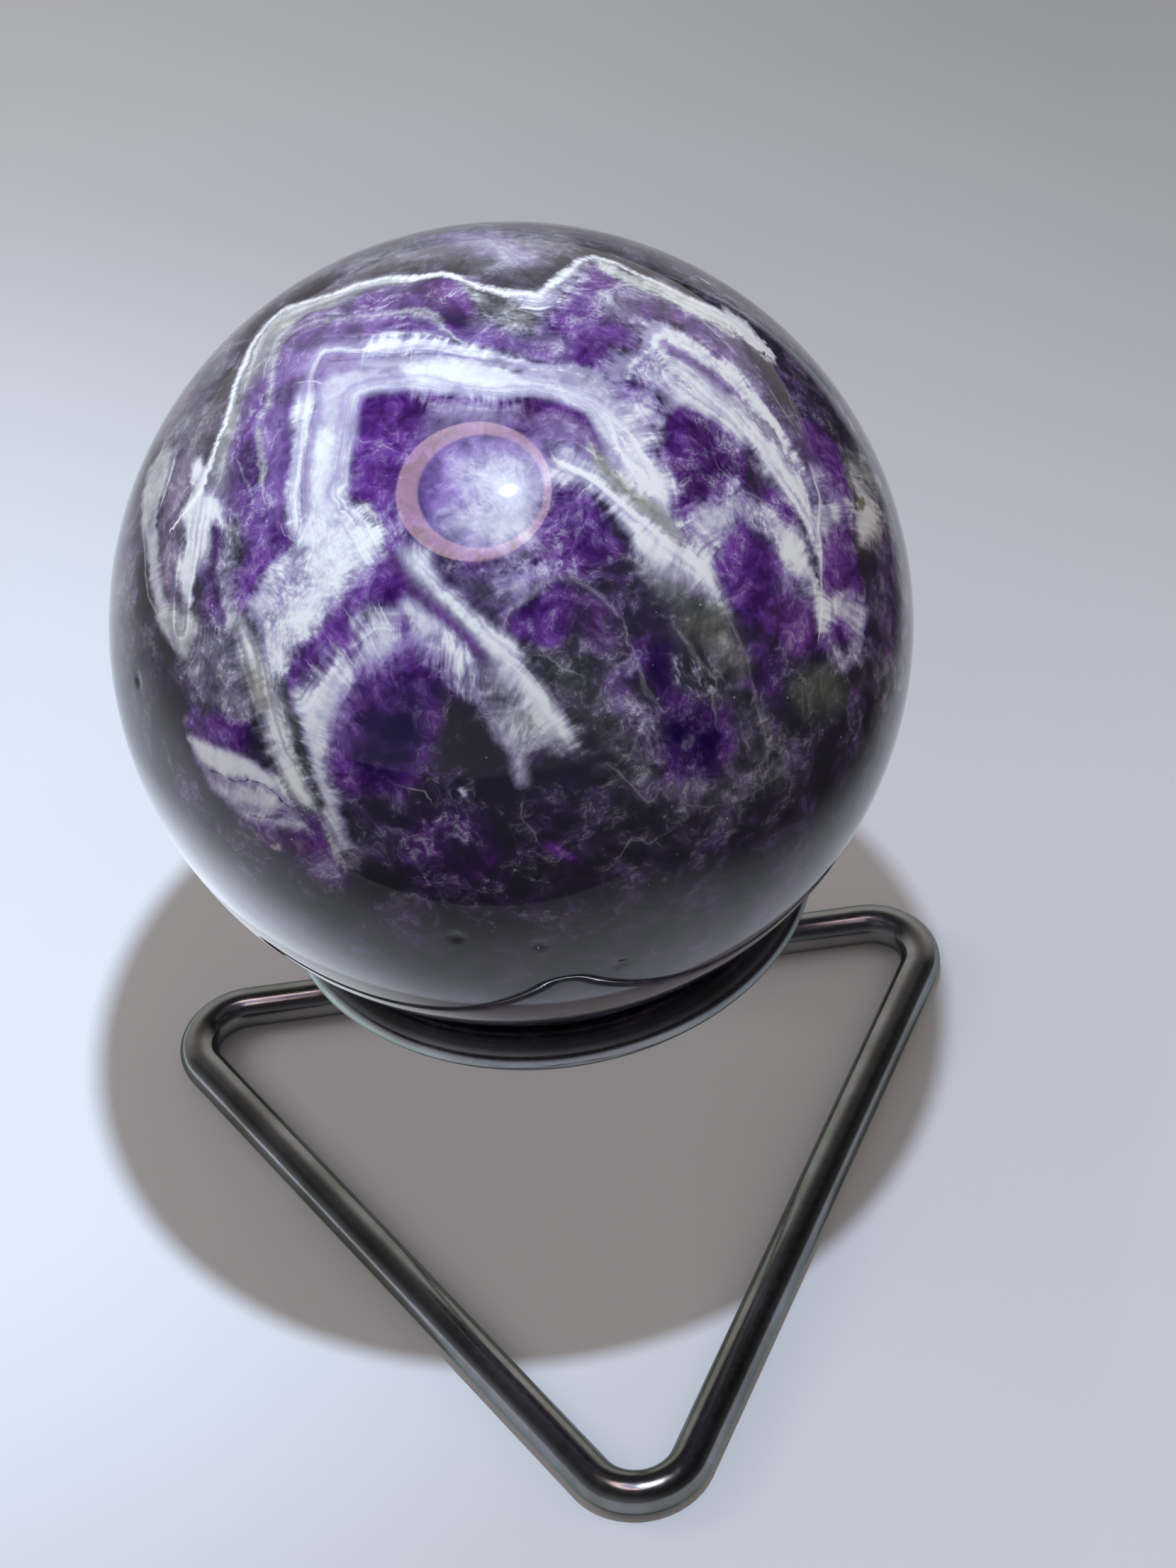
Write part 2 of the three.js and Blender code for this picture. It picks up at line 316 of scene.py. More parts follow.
     [(571, 512), (640, 508), (700, 513), (750, 525), (800, 538), (842, 558), (872, 580), (890, 600), (895, 625),
      (880, 640), (866, 630), (850, 606), (827, 582), (792, 566), (750, 554), (697, 556), (640, 549), (590, 547),
      (574, 532)]),
    ("lilac stripe of the left arm", 0.25, dict(milk=0.62, violet=0.65, fibre=0.0),
     [(438, 590), (447, 580), (446, 640), (440, 690), (441, 745), (430, 745), (430, 690), (434, 640)]),
    ("bright blocks of the left arm", 0.35, dict(milk=0.92, violet=0.4, fibre=0.2),
     [(452, 606), (476, 612), (474, 636), (480, 650), (480, 700), (474, 745), (446, 745), (444, 690), (448, 650)]),
    ("white fall", 0.45, dict(milk=1.0, green=0.25, violet=0.15, fibre=0.7, fleck=0.2),
     [(880, 568), (900, 560), (918, 570), (918, 605), (920, 640), (932, 656), (944, 668), (952, 684), (944, 700),
      (950, 716), (952, 742), (932, 732), (912, 706), (890, 686), (870, 668), (868, 634), (872, 600)]),
    ("shade right of the fall", 0.4, dict(milk=0.7, violet=0.5, green=0.3, fibre=0.7, fleck=0.5),
     [(914, 580), (938, 575), (945, 590), (932, 612), (930, 640), (945, 662), (968, 690), (948, 684), (925, 660),
      (914, 640)]),
    ("speckled edge of the fall", 0.4, dict(milk=0.45, violet=0.7, fleck=1.0),
     [(930, 612), (950, 618), (952, 650), (970, 680), (985, 700), (962, 722), (948, 700), (950, 682), (932, 655),
      (920, 640)]),
    ("peak band", 0.4, dict(milk=0.7, violet=0.6, indigo=0.0, green=0.1, fibre=0.7, fleck=0.2),
     PEAK_OUTER_EDGE + PEAK_INNER_EDGE + [(930, 560), (915, 600), (900, 600)]),
    ("lilac left of the peak band", 0.5, dict(milk=0.74, violet=0.7, fibre=0.6, fleck=0.2),
     [(842, 520), (862, 502), (882, 485), (900, 490), (915, 505), (905, 530), (890, 545), (868, 548), (850, 535)]),
    ("violet spot of the peak", 0.4, dict(milk=0.4, violet=0.8, fleck=0.4),
     [(882, 535), (900, 528), (915, 535), (895, 562), (884, 560)]),
    ("lacy dark of the peak", 0.5, dict(milk=0.4, violet=0.4, green=0.3, fleck=1.0),
     [(918, 508), (945, 500), (965, 515), (950, 528), (925, 522)]),
    ("outer stripe of the peak", 0.3, dict(milk=0.93, violet=0.3, fibre=0.9, fleck=0.0),
     [(900, 472), (912, 456), (930, 456), (952, 464), (970, 475), (990, 490), (1010, 508), (1035, 527), (1056, 546),
      (1072, 572), (1095, 602), (1118, 634), (1134, 660), (1147, 695), (1140, 684), (1122, 656), (1100, 626),
      (1075, 596), (1052, 566), (1034, 548), (1005, 522), (970, 500), (945, 484), (925, 490), (906, 490)]),
    ("mauve line of the peak", 0.2, dict(milk=0.36, violet=0.75, rose=0.2, fibre=0.2),
     [(932, 478), (958, 492), (988, 510), (1014, 529), (1034, 546), (1048, 560), (1034, 556), (1010, 540),
      (985, 524), (955, 506), (932, 492)]),
    ("grey line of the peak", 0.2, dict(milk=0.5, violet=0.3, green=0.4, fibre=0.4, fleck=0.4),
     [(1048, 560), (1070, 590), (1092, 614), (1112, 642), (1130, 668), (1142, 690), (1124, 672), (1104, 646),
      (1082, 620), (1062, 594), (1048, 572)]),
    ("cloud of the peak", 0.5, dict(milk=0.86, violet=0.55, fibre=0.15, fleck=0.0),
     [(944, 530), (965, 520), (985, 530), (1010, 550), (1035, 565), (1052, 590), (1060, 618), (1045, 632),
      (1028, 612), (1000, 592), (975, 580), (950, 578), (940, 560)]),
    ("brightest stripe of the peak", 0.25, dict(milk=1.0, violet=0.2, green=0.0, fibre=0.7, fleck=0.0),
     [(1056, 598), (1068, 605), (1085, 624), (1105, 644), (1118, 660), (1131, 685), (1142, 710), (1150, 735),
      (1156, 762), (1161, 797), (1150, 780), (1140, 755), (1128, 730), (1115, 708), (1100, 690), (1082, 668),
      (1070, 645), (1060, 625)]),
    ("grey under the brightest stripe", 0.3, dict(milk=0.34, violet=0.3, green=0.5, fleck=0.5),
     [(1045, 632), (1062, 645), (1082, 672), (1102, 696), (1120, 722), (1140, 758), (1158, 800), (1160, 812),
      (1146, 796), (1130, 768), (1116, 742), (1092, 700), (1070, 672), (1050, 655)]),
    ("first core", 0.2, dict(milk=0.05, violet=1.0, indigo=0.1, green=0.0, fibre=0.15, fleck=0.5),
     [(509, 565), (548, 558), (582, 555), (621, 558), (659, 564), (697, 567), (750, 562), (792, 573), (826, 590),
      (844, 618), (850, 640), (840, 680), (850, 705), (800, 690), (775, 760), (700, 790), (650, 785), (610, 770),
      (575, 750), (548, 775), (540, 740), (532, 730), (518, 712), (498, 706), (501, 665), (505, 627),
      (508, 588)]),
    ("dark of the first core", 0.6, dict(milk=0.02, violet=0.9, indigo=0.3, rose=0.2, fleck=0.3),
     [(530, 585), (560, 572), (590, 575), (600, 592), (575, 612), (548, 612)]),
    ("light edge of the first core", 0.35, dict(milk=0.25, violet=1.0, indigo=0.0, fleck=0.0),
     [(505, 635), (518, 655), (516, 700), (502, 702), (500, 665)]),
    ("violet beside the valley", 0.6, dict(milk=0.6, violet=0.95, indigo=0.0, fleck=0.2),
     [(556, 700), (575, 735), (600, 765), (600, 790), (575, 790), (552, 775), (548, 740)]),
    ("mottled strip", 0.4, dict(milk=0.72, violet=0.7, rose=0.35, fibre=0.8, fleck=1.0),
     [(582, 556), (650, 560), (700, 566), (745, 565), (738, 592), (690, 600), (640, 598), (604, 586)]),
    ("magenta strip", 0.4, dict(violet=0.95, rose=0.5, milk=0.36, fibre=0.3, indigo=0.0),
     [(700, 582), (750, 576), (800, 587), (838, 612), (846, 634), (825, 625), (790, 606), (740, 600)]),
    ("lilac above the cloud", 0.8, dict(milk=0.46, violet=1.0, rose=0.1, fibre=0.2, fleck=0.5),
     [(590, 592), (640, 582), (704, 592), (702, 616), (640, 628), (594, 618)]),
    ("haze over the first core", 1.0, dict(milk=0.66, violet=0.7, fibre=0.1, fleck=0.1),
     [(760, 625), (800, 615), (830, 630), (850, 655), (845, 690), (800, 690), (770, 700), (750, 680)]),
    ("lilac of the cloud", 1.2, dict(milk=0.42, violet=1.0, indigo=0.0, fibre=0.1, fleck=0.3),
     [(605, 640), (650, 612), (720, 608), (775, 618), (790, 650), (780, 690), (740, 700),
      (680, 720), (630, 720), (600, 690)]),
    # Partly milky quartz, partly a painted reflection: its milk is raised to stand in for the lamp's pale veil under
    # the highlight
    ("white cloud with painted lamp veil", 1.0, dict(milk=0.86, violet=0.5, fibre=0.2, fleck=0.2),
     [(655, 665), (700, 648), (745, 655), (772, 690), (775, 735), (755, 772), (700, 785), (650, 765),
      (622, 735), (640, 720), (672, 715)]),
    ("second diagonal", 0.5, dict(milk=0.9, violet=0.3, indigo=0.0, green=0.2, rose=0.0, fibre=0.65, fleck=0.1),
     [(786, 630), (804, 636), (826, 650), (846, 664), (868, 686), (890, 702), (914, 722), (936, 744), (954, 760),
      (974, 770), (992, 778), (1004, 794), (1013, 813), (1018, 832), (1025, 850), (1030, 866), (1014, 862),
      (996, 852), (978, 846), (958, 834), (938, 826), (920, 816), (900, 800), (884, 786), (872, 768), (860, 750),
      (848, 732), (834, 716), (818, 702), (798, 690), (782, 676)]),
    ("second diagonal's bright middle", 0.7, dict(milk=0.98, violet=0.1, green=0.1, fibre=0.6),
     [(838, 672), (856, 690), (880, 712), (905, 735), (928, 752), (925, 768), (905, 760), (885, 738), (862, 712),
      (842, 690)]),
    ("second diagonal's bright end", 0.5, dict(milk=0.98, violet=0.1, green=0.1, fibre=0.6),
     [(968, 778), (985, 782), (998, 798), (1008, 817), (1014, 836), (1012, 845), (1000, 838), (990, 820),
      (980, 800)]),
    ("grey over the second diagonal", 0.35, dict(milk=0.68, green=0.8, violet=0.1, fibre=0.3, fleck=0.1),
     [(832, 630), (848, 645), (868, 668), (890, 686), (912, 706), (932, 731), (950, 742), (968, 765), (958, 770),
      (932, 748), (908, 726), (884, 706), (862, 688), (846, 668), (836, 648)]),
    ("olive line", 0.3, dict(milk=0.42, green=1.0, violet=0.0, ochre=0.25, fibre=0.2),
     [(836, 622), (850, 644), (869, 667), (892, 687), (914, 708), (934, 732), (944, 745), (930, 736), (908, 712),
      (886, 692), (864, 673), (846, 652)]),
    ("dark violet below", 0.5, dict(milk=0.14, violet=0.75, indigo=0.25, green=0.05, fibre=0.5, fleck=1.0),
     [(790, 690), (822, 694), (845, 708), (858, 725), (872, 742), (885, 756), (893, 770), (902, 788), (890, 800),
      (860, 800), (830, 812), (800, 805), (782, 790), (770, 760), (772, 720)]),
    ("light violet under the haze", 0.6, dict(milk=0.34, violet=1.0, indigo=0.0, fleck=0.2),
     [(785, 690), (810, 688), (830, 700), (815, 715), (795, 720), (780, 710)]),
    ("black beside the second diagonal", 0.4, dict(milk=0.02, violet=0.25, indigo=0.2, green=0.1, fleck=0.3),
     [(852, 715), (868, 738), (884, 756), (894, 775), (902, 792), (900, 830), (880, 836), (862, 825), (860, 800),
      (878, 780), (868, 750)]),
    ("peak core", 0.25, dict(milk=0.03, violet=0.95, rose=0.3, indigo=0.6, green=0.0, fibre=0.2, fleck=0.5),
     [(948, 588), (955, 580), (975, 582), (1002, 594), (1030, 614), (1042, 634), (1036, 665), (1012, 690),
      (985, 700), (962, 690), (950, 670), (944, 645), (938, 615)]),
    ("light part of the peak core", 0.4, dict(milk=0.12, violet=1.0, rose=0.0, indigo=0.0),
     [(946, 590), (964, 586), (968, 630), (958, 650), (944, 630)]),
    ("specks of the peak core", 0.5, dict(milk=0.3, violet=0.8, fleck=1.0, fibre=0.8),
     [(1020, 620), (1042, 634), (1056, 664), (1050, 695), (1020, 700), (1005, 680), (1025, 655)]),
    ("below the peak core", 0.6, dict(milk=0.72, violet=0.75, fibre=0.5, fleck=0.4),
     [(962, 735), (975, 708), (1015, 695), (1050, 692), (1085, 706), (1110, 730), (1130, 768), (1142, 795),
      (1150, 830), (1120, 815), (1100, 790), (1078, 752), (1050, 735), (1030, 762), (1012, 785), (990, 780),
      (970, 765)]),
    ("violet by the olive line", 0.4, dict(milk=0.3, violet=1.0, fleck=0.3, fibre=0.7),
     [(952, 704), (975, 706), (978, 722), (968, 742), (955, 728)]),
    ("nested band", 0.35, dict(milk=0.74, violet=0.4, green=0.1, fibre=0.7, fleck=0.1),
     [(1058, 708), (1085, 712), (1102, 732), (1118, 750), (1135, 772), (1146, 792), (1156, 818), (1163, 850),
      (1162, 885), (1154, 905), (1148, 875), (1138, 842), (1124, 815), (1108, 795), (1096, 768), (1078, 745)]),
    ("nested band's bright part", 0.35, dict(milk=0.95, violet=0.3, fibre=0.6),
     [(1102, 742), (1117, 752), (1132, 776), (1132, 802), (1118, 804), (1106, 785)]),
    ("violet over the nested band", 0.3, dict(milk=0.12, violet=0.9, fleck=0.8, fibre=0.6),
     [(1082, 688), (1102, 698), (1118, 714), (1122, 738), (1108, 736), (1092, 718), (1080, 704)]),
    ("brown over the nested band", 0.3, dict(milk=0.1, violet=0.35, rose=0.3, green=0.4, fleck=0.6),
     [(1056, 664), (1080, 680), (1078, 698), (1056, 694)]),
    ("beside the nested core", 0.6, dict(milk=0.42, violet=0.65, fibre=0.4, fleck=0.4),
     [(1098, 800), (1122, 815), (1138, 842), (1140, 856), (1110, 850), (1090, 860), (1092, 830)]),
    ("violet below the nested core", 0.6, dict(milk=0.12, violet=0.8, rose=0.3, indigo=0.1, fleck=0.4),
     [(1090, 858), (1112, 850), (1140, 856), (1148, 885), (1150, 915), (1120, 920), (1095, 905), (1086, 880)]),
    ("nested core", 0.35, dict(milk=0.07, violet=1.0, indigo=0.12, green=0.0, fibre=0.1, fleck=0.6),
     [(1045, 738), (1060, 754), (1076, 770), (1091, 785), (1099, 802), (1090, 830), (1085, 860), (1090, 890),
      (1080, 892), (1058, 880), (1040, 866), (1026, 846), (1014, 815), (1010, 795), (1024, 785), (1035, 765)]),
    ("violet V at the right", 0.3, dict(milk=0.1, violet=0.9, rose=0.2, green=0.1, fibre=0.3, fleck=0.3),
     [(1132, 590), (1155, 600), (1175, 622), (1188, 650), (1192, 700), (1180, 682), (1165, 662), (1150, 650),
      (1142, 662), (1136, 630)]),
    ("lilac in the V", 0.3, dict(milk=0.5, violet=0.5, green=0.2, fibre=0.3),
     [(1144, 656), (1158, 654), (1166, 668), (1158, 692), (1150, 702)]),
    ("violet-lilac below the V", 0.5, dict(milk=0.36, violet=0.7, fleck=0.6),
     [(1152, 706), (1160, 692), (1170, 672), (1190, 690), (1202, 720), (1200, 745), (1180, 735), (1165, 712)]),
    ("white at the right", 0.35, dict(milk=0.8, violet=0.3, fibre=0.8, fleck=0.4),
     [(1148, 715), (1165, 708), (1184, 725), (1180, 742), (1168, 770), (1161, 797), (1155, 762)]),
    ("grey at the right", 0.6, dict(milk=0.5, green=0.8, violet=0.1, fleck=0.3),
     [(1190, 640), (1215, 640), (1240, 680), (1225, 700), (1205, 690), (1200, 670)]),
    ("right edge cream", 0.6, dict(milk=0.92, green=0.7, ochre=0.25, violet=0.2, fibre=0.8, fleck=0.4),
     [(1204, 690), (1215, 675), (1232, 700), (1246, 735), (1240, 760), (1222, 782), (1210, 778), (1204, 745)]),
    ("ochre spot at the right", 0.2, dict(ochre=1.0, milk=0.4, green=0.6), [(1205, 708), (1215, 706), (1218, 722), (1207, 724)]),
    ("dark at the right edge", 0.8, dict(milk=0.2, violet=0.35, rose=0.35, green=0.3, fleck=0.2),
     [(1228, 780), (1250, 752), (1268, 790), (1275, 880), (1258, 940), (1230, 930), (1235, 870), (1238, 820)]),
    ("right edge violet", 0.4, dict(milk=0.12, violet=0.95, fibre=0.4, fleck=0.3, rose=0.2),
     [(1164, 775), (1178, 746), (1192, 762), (1208, 792), (1214, 822), (1210, 850), (1200, 832), (1180, 826),
      (1163, 836)]),
    ("pink side of the right violet", 0.4, dict(milk=0.5, violet=0.8, rose=0.3),
     [(1182, 750), (1196, 762), (1208, 790), (1200, 792), (1188, 770)]),
    ("right edge tail", 0.4, dict(milk=0.66, violet=0.5, green=0.2, fibre=0.8, fleck=0.5),
     [(1163, 838), (1180, 828), (1200, 834), (1216, 842), (1224, 870), (1226, 905), (1214, 930), (1200, 946),
      (1182, 944), (1172, 925), (1160, 915), (1158, 880)]),
    ("right edge tail core", 0.4, dict(milk=0.14, violet=0.95, indigo=0.0, fibre=0.5),
     [(1160, 895), (1172, 880), (1184, 868), (1200, 880), (1202, 900), (1190, 912), (1172, 910), (1160, 920)]),
    ("lacy foot at the right", 0.4, dict(milk=0.2, violet=0.3, green=0.4, fleck=1.0, fibre=0.7),
     [(1178, 912), (1196, 908), (1206, 920), (1198, 938), (1182, 936)]),
    ("left arm feather", 0.3, dict(milk=0.9, violet=0.35, green=0.1, fibre=0.6, fleck=0.1),
     [(405, 740), (430, 728), (460, 730), (496, 708), (515, 720), (531, 740), (536, 756), (531, 766), (541, 785),
      (530, 797), (515, 806), (500, 820), (486, 836), (472, 856), (462, 872), (450, 887), (435, 902), (420, 916),
      (404, 932), (398, 960), (380, 950), (368, 925), (366, 885), (356, 870), (352, 850), (362, 828), (376, 805),
      (392, 793), (408, 782), (414, 766)]),
    ("grey in the feather", 0.5, dict(milk=0.6, violet=0.6, fibre=0.5, fleck=0.3),
     [(382, 822), (402, 792), (430, 778), (448, 796), (432, 820), (416, 836), (396, 846), (384, 836)]),
    ("lower grey in the feather", 0.5, dict(milk=0.62, violet=0.6, fibre=0.5),
     [(368, 866), (384, 850), (396, 872), (402, 900), (410, 920), (398, 918), (386, 890)]),
    ("speckled side of the valley", 0.3, dict(milk=0.5, green=0.5, violet=0.2, fibre=0.8, fleck=1.0),
     [(496, 703), (515, 706), (530, 735), (538, 757), (526, 752), (506, 728)]),
    ("first white plume", 0.4, dict(milk=1.0, violet=0.1),
     [(496, 780), (470, 800), (446, 832), (452, 844), (480, 820), (502, 796)]),
    ("second white plume", 0.4, dict(milk=1.0, violet=0.1),
     [(448, 840), (420, 856), (398, 880), (406, 890), (432, 874), (454, 854)]),
    ("third white plume", 0.4, dict(milk=1.0, violet=0.1),
     [(404, 880), (384, 905), (366, 940), (376, 950), (398, 915), (412, 892)]),
    ("fourth white plume", 0.4, dict(milk=1.0, violet=0.1, green=0.3),
     [(445, 765), (470, 758), (505, 766), (524, 772), (505, 782), (470, 774)]),
    ("blurred lilac over the roof", 0.7, dict(milk=0.5, violet=0.9),
     [(535, 798), (520, 808), (500, 822), (486, 838), (470, 858), (460, 874), (450, 890), (430, 908), (412, 925),
      (420, 935), (440, 915), (462, 888), (480, 866), (500, 846), (520, 826)]),
    ("violet roof, left slope", 0.35, dict(milk=0.2, violet=1.0, indigo=0.05, green=0.0, rose=0.0, fibre=0.35, fleck=0.3),
     [(545, 788), (560, 793), (569, 810), (568, 840), (563, 868), (550, 869), (538, 860), (525, 858), (508, 868),
      (500, 885), (500, 915), (488, 912), (470, 905), (462, 925), (450, 945), (435, 965), (414, 972), (408, 950),
      (420, 932), (440, 914), (458, 892), (468, 872), (484, 856), (502, 838), (520, 817), (532, 800)]),
    ("dark of the roof", 0.5, dict(milk=0.02, violet=0.9, indigo=0.5, fleck=0.4),
     [(530, 815), (548, 805), (562, 815), (565, 845), (560, 866), (548, 863), (540, 845), (530, 835)]),
    ("dark of the left slope", 0.4, dict(milk=0.03, violet=1.0, indigo=0.35, fleck=0.2),
     [(470, 882), (485, 869), (498, 874), (498, 910), (488, 910), (472, 900)]),
    ("lilac under the roof", 0.6, dict(milk=0.76, violet=0.7, indigo=0.0, green=0.0, fibre=0.6, fleck=0.2),
     [(500, 880), (512, 864), (525, 868), (540, 864), (556, 872), (570, 858), (590, 850), (612, 870), (640, 895),
      (668, 922), (672, 935), (650, 940), (630, 930), (605, 925), (585, 918), (560, 935), (548, 950), (528, 955),
      (508, 965), (492, 985), (482, 1010), (466, 1032), (455, 1052), (437, 1056), (425, 1020), (418, 985),
      (435, 972), (448, 950), (464, 930), (480, 932), (500, 920)]),
    ("milky wall under the right slope", 0.35, dict(milk=0.8, violet=0.55, fibre=0.15, fleck=0.1),
     [(572, 836), (594, 852), (626, 880), (655, 906), (676, 930), (680, 990), (655, 978), (630, 953), (608, 935),
      (586, 920), (568, 922), (548, 910), (534, 888), (530, 866), (552, 856)]),
    ("gap in the crystals", 0.35, dict(milk=0.3, violet=0.7, fleck=0.4, fibre=0.8),
     [(556, 876), (570, 866), (582, 880), (578, 898), (564, 902)]),
    ("pale under the roof", 0.6, dict(milk=0.8, violet=0.5, fibre=0.15, fleck=0.1),
     [(424, 985), (445, 978), (470, 985), (480, 1005), (468, 1028), (452, 1050), (438, 1050), (428, 1018)]),
    ("white under the roof", 0.5, dict(milk=0.8, violet=0.4, fibre=0.9, fleck=0.3),
     [(618, 905), (645, 900), (662, 925), (650, 945), (628, 940), (612, 925)]),
    ("violet roof, right slope", 0.15, dict(milk=0.18, violet=1.0, rose=0.3, fibre=0.0, fleck=0.0),
     [(552, 782), (572, 798), (603, 828), (628, 856), (655, 884), (676, 906), (697, 934), (690, 942), (668, 922),
      (645, 900), (620, 872), (596, 845), (572, 822), (552, 806)]),
    ("second core", 0.8, dict(milk=0.0, violet=1.0, indigo=1.0, green=0.0, rose=0.0, fibre=0.05, fleck=0.15),
     [(570, 925), (592, 923), (605, 936), (622, 955), (640, 975), (655, 988), (640, 1020), (625, 1045), (605, 1068),
      (590, 1090), (560, 1108), (530, 1112), (502, 1105), (490, 1085), (490, 1050), (480, 1038), (490, 1010),
      (505, 985), (518, 965), (532, 955), (555, 950), (562, 936)]),
    ("violet edge of the second core", 1.0, dict(violet=1.0, indigo=0.08, milk=0.3),
     [(560, 936), (576, 925), (592, 926), (602, 948), (582, 958), (562, 968), (546, 980), (532, 990), (520, 1008),
      (505, 1022), (490, 1028), (500, 1000), (515, 975), (532, 958), (550, 952)]),
    ("violet lobe", 0.3, dict(violet=0.65, indigo=0.1, milk=0.16, fleck=0.5),
     [(470, 1046), (490, 1052), (496, 1078), (486, 1106), (472, 1110), (460, 1094), (453, 1072)]),
    ("black quartz", 0.6, dict(milk=0.02, violet=0.15, indigo=0.2, green=0.0, rose=0.2, fleck=0.35),
     [(625, 972), (650, 978), (672, 995), (700, 1020), (722, 1060), (732, 1105), (760, 1130), (790, 1180),
      (770, 1250), (700, 1268), (640, 1260), (590, 1230), (575, 1150), (592, 1090), (622, 1040), (612, 1005)]),
    ("frayed edge of the black quartz", 0.4, dict(milk=0.5, violet=0.6, fibre=0.6, fleck=1.0),
     [(600, 928), (625, 935), (650, 945), (672, 940), (690, 975), (686, 1003), (662, 990), (640, 972), (618, 950)]),
    ("third diagonal, upper", 0.3, dict(milk=0.82, violet=0.3, indigo=0.0, green=0.5, rose=0.0, fibre=0.15, fleck=0.1),
     [(560, 776), (603, 778), (617, 806), (639, 832), (664, 864), (693, 889), (732, 914), (722, 930), (700, 940),
      (697, 934), (676, 906), (655, 884), (628, 856), (603, 828), (572, 798)]),
    ("third diagonal", 0.5, dict(milk=0.7, violet=0.2, indigo=0.0, green=0.45, rose=0.0, fibre=0.25, fleck=0.9),
     [(690, 884), (706, 893), (735, 912), (741, 930), (750, 950), (766, 960), (780, 980), (800, 1000), (804, 1016),
      (816, 1036), (830, 1054), (838, 1068), (822, 1064), (806, 1070), (788, 1062), (765, 1056), (745, 1056),
      (736, 1064), (740, 1088), (748, 1108), (734, 1106), (727, 1092), (724, 1062), (706, 1048), (696, 1030),
      (696, 1010), (688, 990), (690, 972), (684, 945), (696, 930)]),
    ("bright step of the third diagonal", 0.3, dict(milk=1.0, violet=0.2, green=0.0, fibre=0.2),
     [(603, 781), (617, 806), (639, 832), (664, 864), (693, 889), (732, 914), (743, 936), (725, 935), (700, 910),
      (676, 888), (650, 862), (628, 838), (610, 812), (598, 792)]),
    ("bright streak of the third diagonal", 0.4, dict(milk=0.96, violet=0.1, green=0.3, fibre=0.3),
     [(714, 942), (730, 950), (754, 966), (780, 992), (802, 1016), (822, 1040), (832, 1060), (812, 1052),
      (788, 1036), (762, 1014), (742, 986), (722, 964)]),
    ("foot of the third diagonal", 0.35, dict(milk=0.76, violet=0.3, fibre=0.25, fleck=0.8),
     [(700, 1020), (716, 1030), (728, 1050), (734, 1075), (742, 1100), (734, 1104), (726, 1085), (714, 1058),
      (702, 1042)]),
    ("grey in the third diagonal", 0.4, dict(milk=0.5, green=0.5, violet=0.1, fibre=0.5, fleck=0.8),
     [(700, 975), (735, 985), (760, 1010), (765, 1040), (735, 1045), (712, 1020)]),
    ("indigo patch", 0.35, dict(milk=0.03, violet=1.0, indigo=0.4, green=0.0, fleck=0.5),
     [(726, 866), (738, 856), (760, 845), (776, 832), (787, 828), (802, 838), (807, 855), (800, 872), (795, 890),
      (785, 908), (770, 915), (752, 906), (735, 898), (726, 882)]),
    ("mauve-grey", 0.6, dict(milk=0.16, violet=0.5, rose=0.35, green=0.2, fleck=0.3),
     [(814, 835), (840, 842), (862, 858), (874, 880), (884, 905), (872, 930), (850, 935), (830, 915), (812, 880)]),
    ("veils over the indigo patch", 0.5, dict(milk=0.52, violet=0.7, green=0.1, fleck=1.0, fibre=0.5),
     [(620, 792), (680, 800), (740, 792), (780, 795), (800, 815), (775, 832), (740, 855), (715, 880), (690, 862),
      (660, 842), (640, 815)]),
    ("speckled quartz by the third diagonal", 0.4, dict(milk=0.26, violet=0.4, green=0.3, fibre=0.3, fleck=1.0),
     [(618, 795), (645, 800), (690, 812), (712, 840), (712, 866), (700, 880), (670, 850), (640, 822)]),
    ("dark beside the third diagonal", 0.5, dict(green=0.35, violet=0.15, indigo=0.1, milk=0.1, fleck=0.5),
     [(742, 915), (780, 918), (812, 900), (818, 935), (820, 975), (808, 1000), (785, 975), (762, 952), (750, 938)]),
    ("dark between the diagonals", 0.6, dict(green=0.6, violet=0.15, indigo=0.0, milk=0.14, fleck=1.0),
     [(815, 940), (850, 940), (880, 960), (880, 1010), (890, 1060), (880, 1090), (850, 1070), (832, 1040),
      (810, 1005)]),
    ("black below the veins", 0.4, dict(green=0.1, violet=0.35, indigo=0.2, milk=0.02, fleck=0.5),
     [(885, 855), (905, 850), (935, 860), (945, 880), (930, 905), (905, 905), (890, 890)]),
    ("green quartz", 1.0, dict(green=0.8, violet=0.1, milk=0.36, fibre=0.3, fleck=0.8),
     [(905, 795), (943, 805), (975, 828), (1004, 848), (1022, 862), (1040, 895), (1050, 935), (1040, 948),
      (1018, 930), (1000, 905), (980, 885), (955, 865), (930, 835)]),
    ("green streak", 0.4, dict(green=1.0, violet=0.0, milk=0.5, ochre=0.15, fibre=0.6),
     [(985, 880), (1010, 900), (1040, 930), (1046, 945), (1020, 928), (995, 905)]),
    ("olive pane", 0.5, dict(green=1.0, violet=0.0, milk=0.26, ochre=0.22, fibre=0.1, fleck=0.3),
     [(975, 862), (1002, 860), (1030, 872), (1046, 900), (1060, 940), (1045, 948), (1020, 925), (990, 905), (962, 885)]),
    ("light of the olive pane", 0.4, dict(milk=0.64, ochre=0.15),
     [(1005, 890), (1022, 900), (1042, 930), (1047, 946), (1026, 930), (1008, 908)]),
    ("pale foot of the green vein", 0.4, dict(milk=0.5, green=0.7, violet=0.1, fibre=0.4),
     [(1056, 1008), (1066, 990), (1075, 1020), (1087, 1085), (1082, 1098), (1067, 1055)]),
    ("olive at the right", 0.7, dict(green=1.0, violet=0.0, milk=0.26, ochre=0.2, fleck=0.4),
     [(1120, 975), (1150, 958), (1180, 972), (1188, 984), (1160, 991), (1130, 994)]),
    ("green quartz below", 0.8, dict(green=0.8, violet=0.1, milk=0.12, fleck=0.6),
     [(1027, 1010), (1060, 985), (1080, 1040), (1090, 1100), (1050, 1112), (1030, 1070)]),
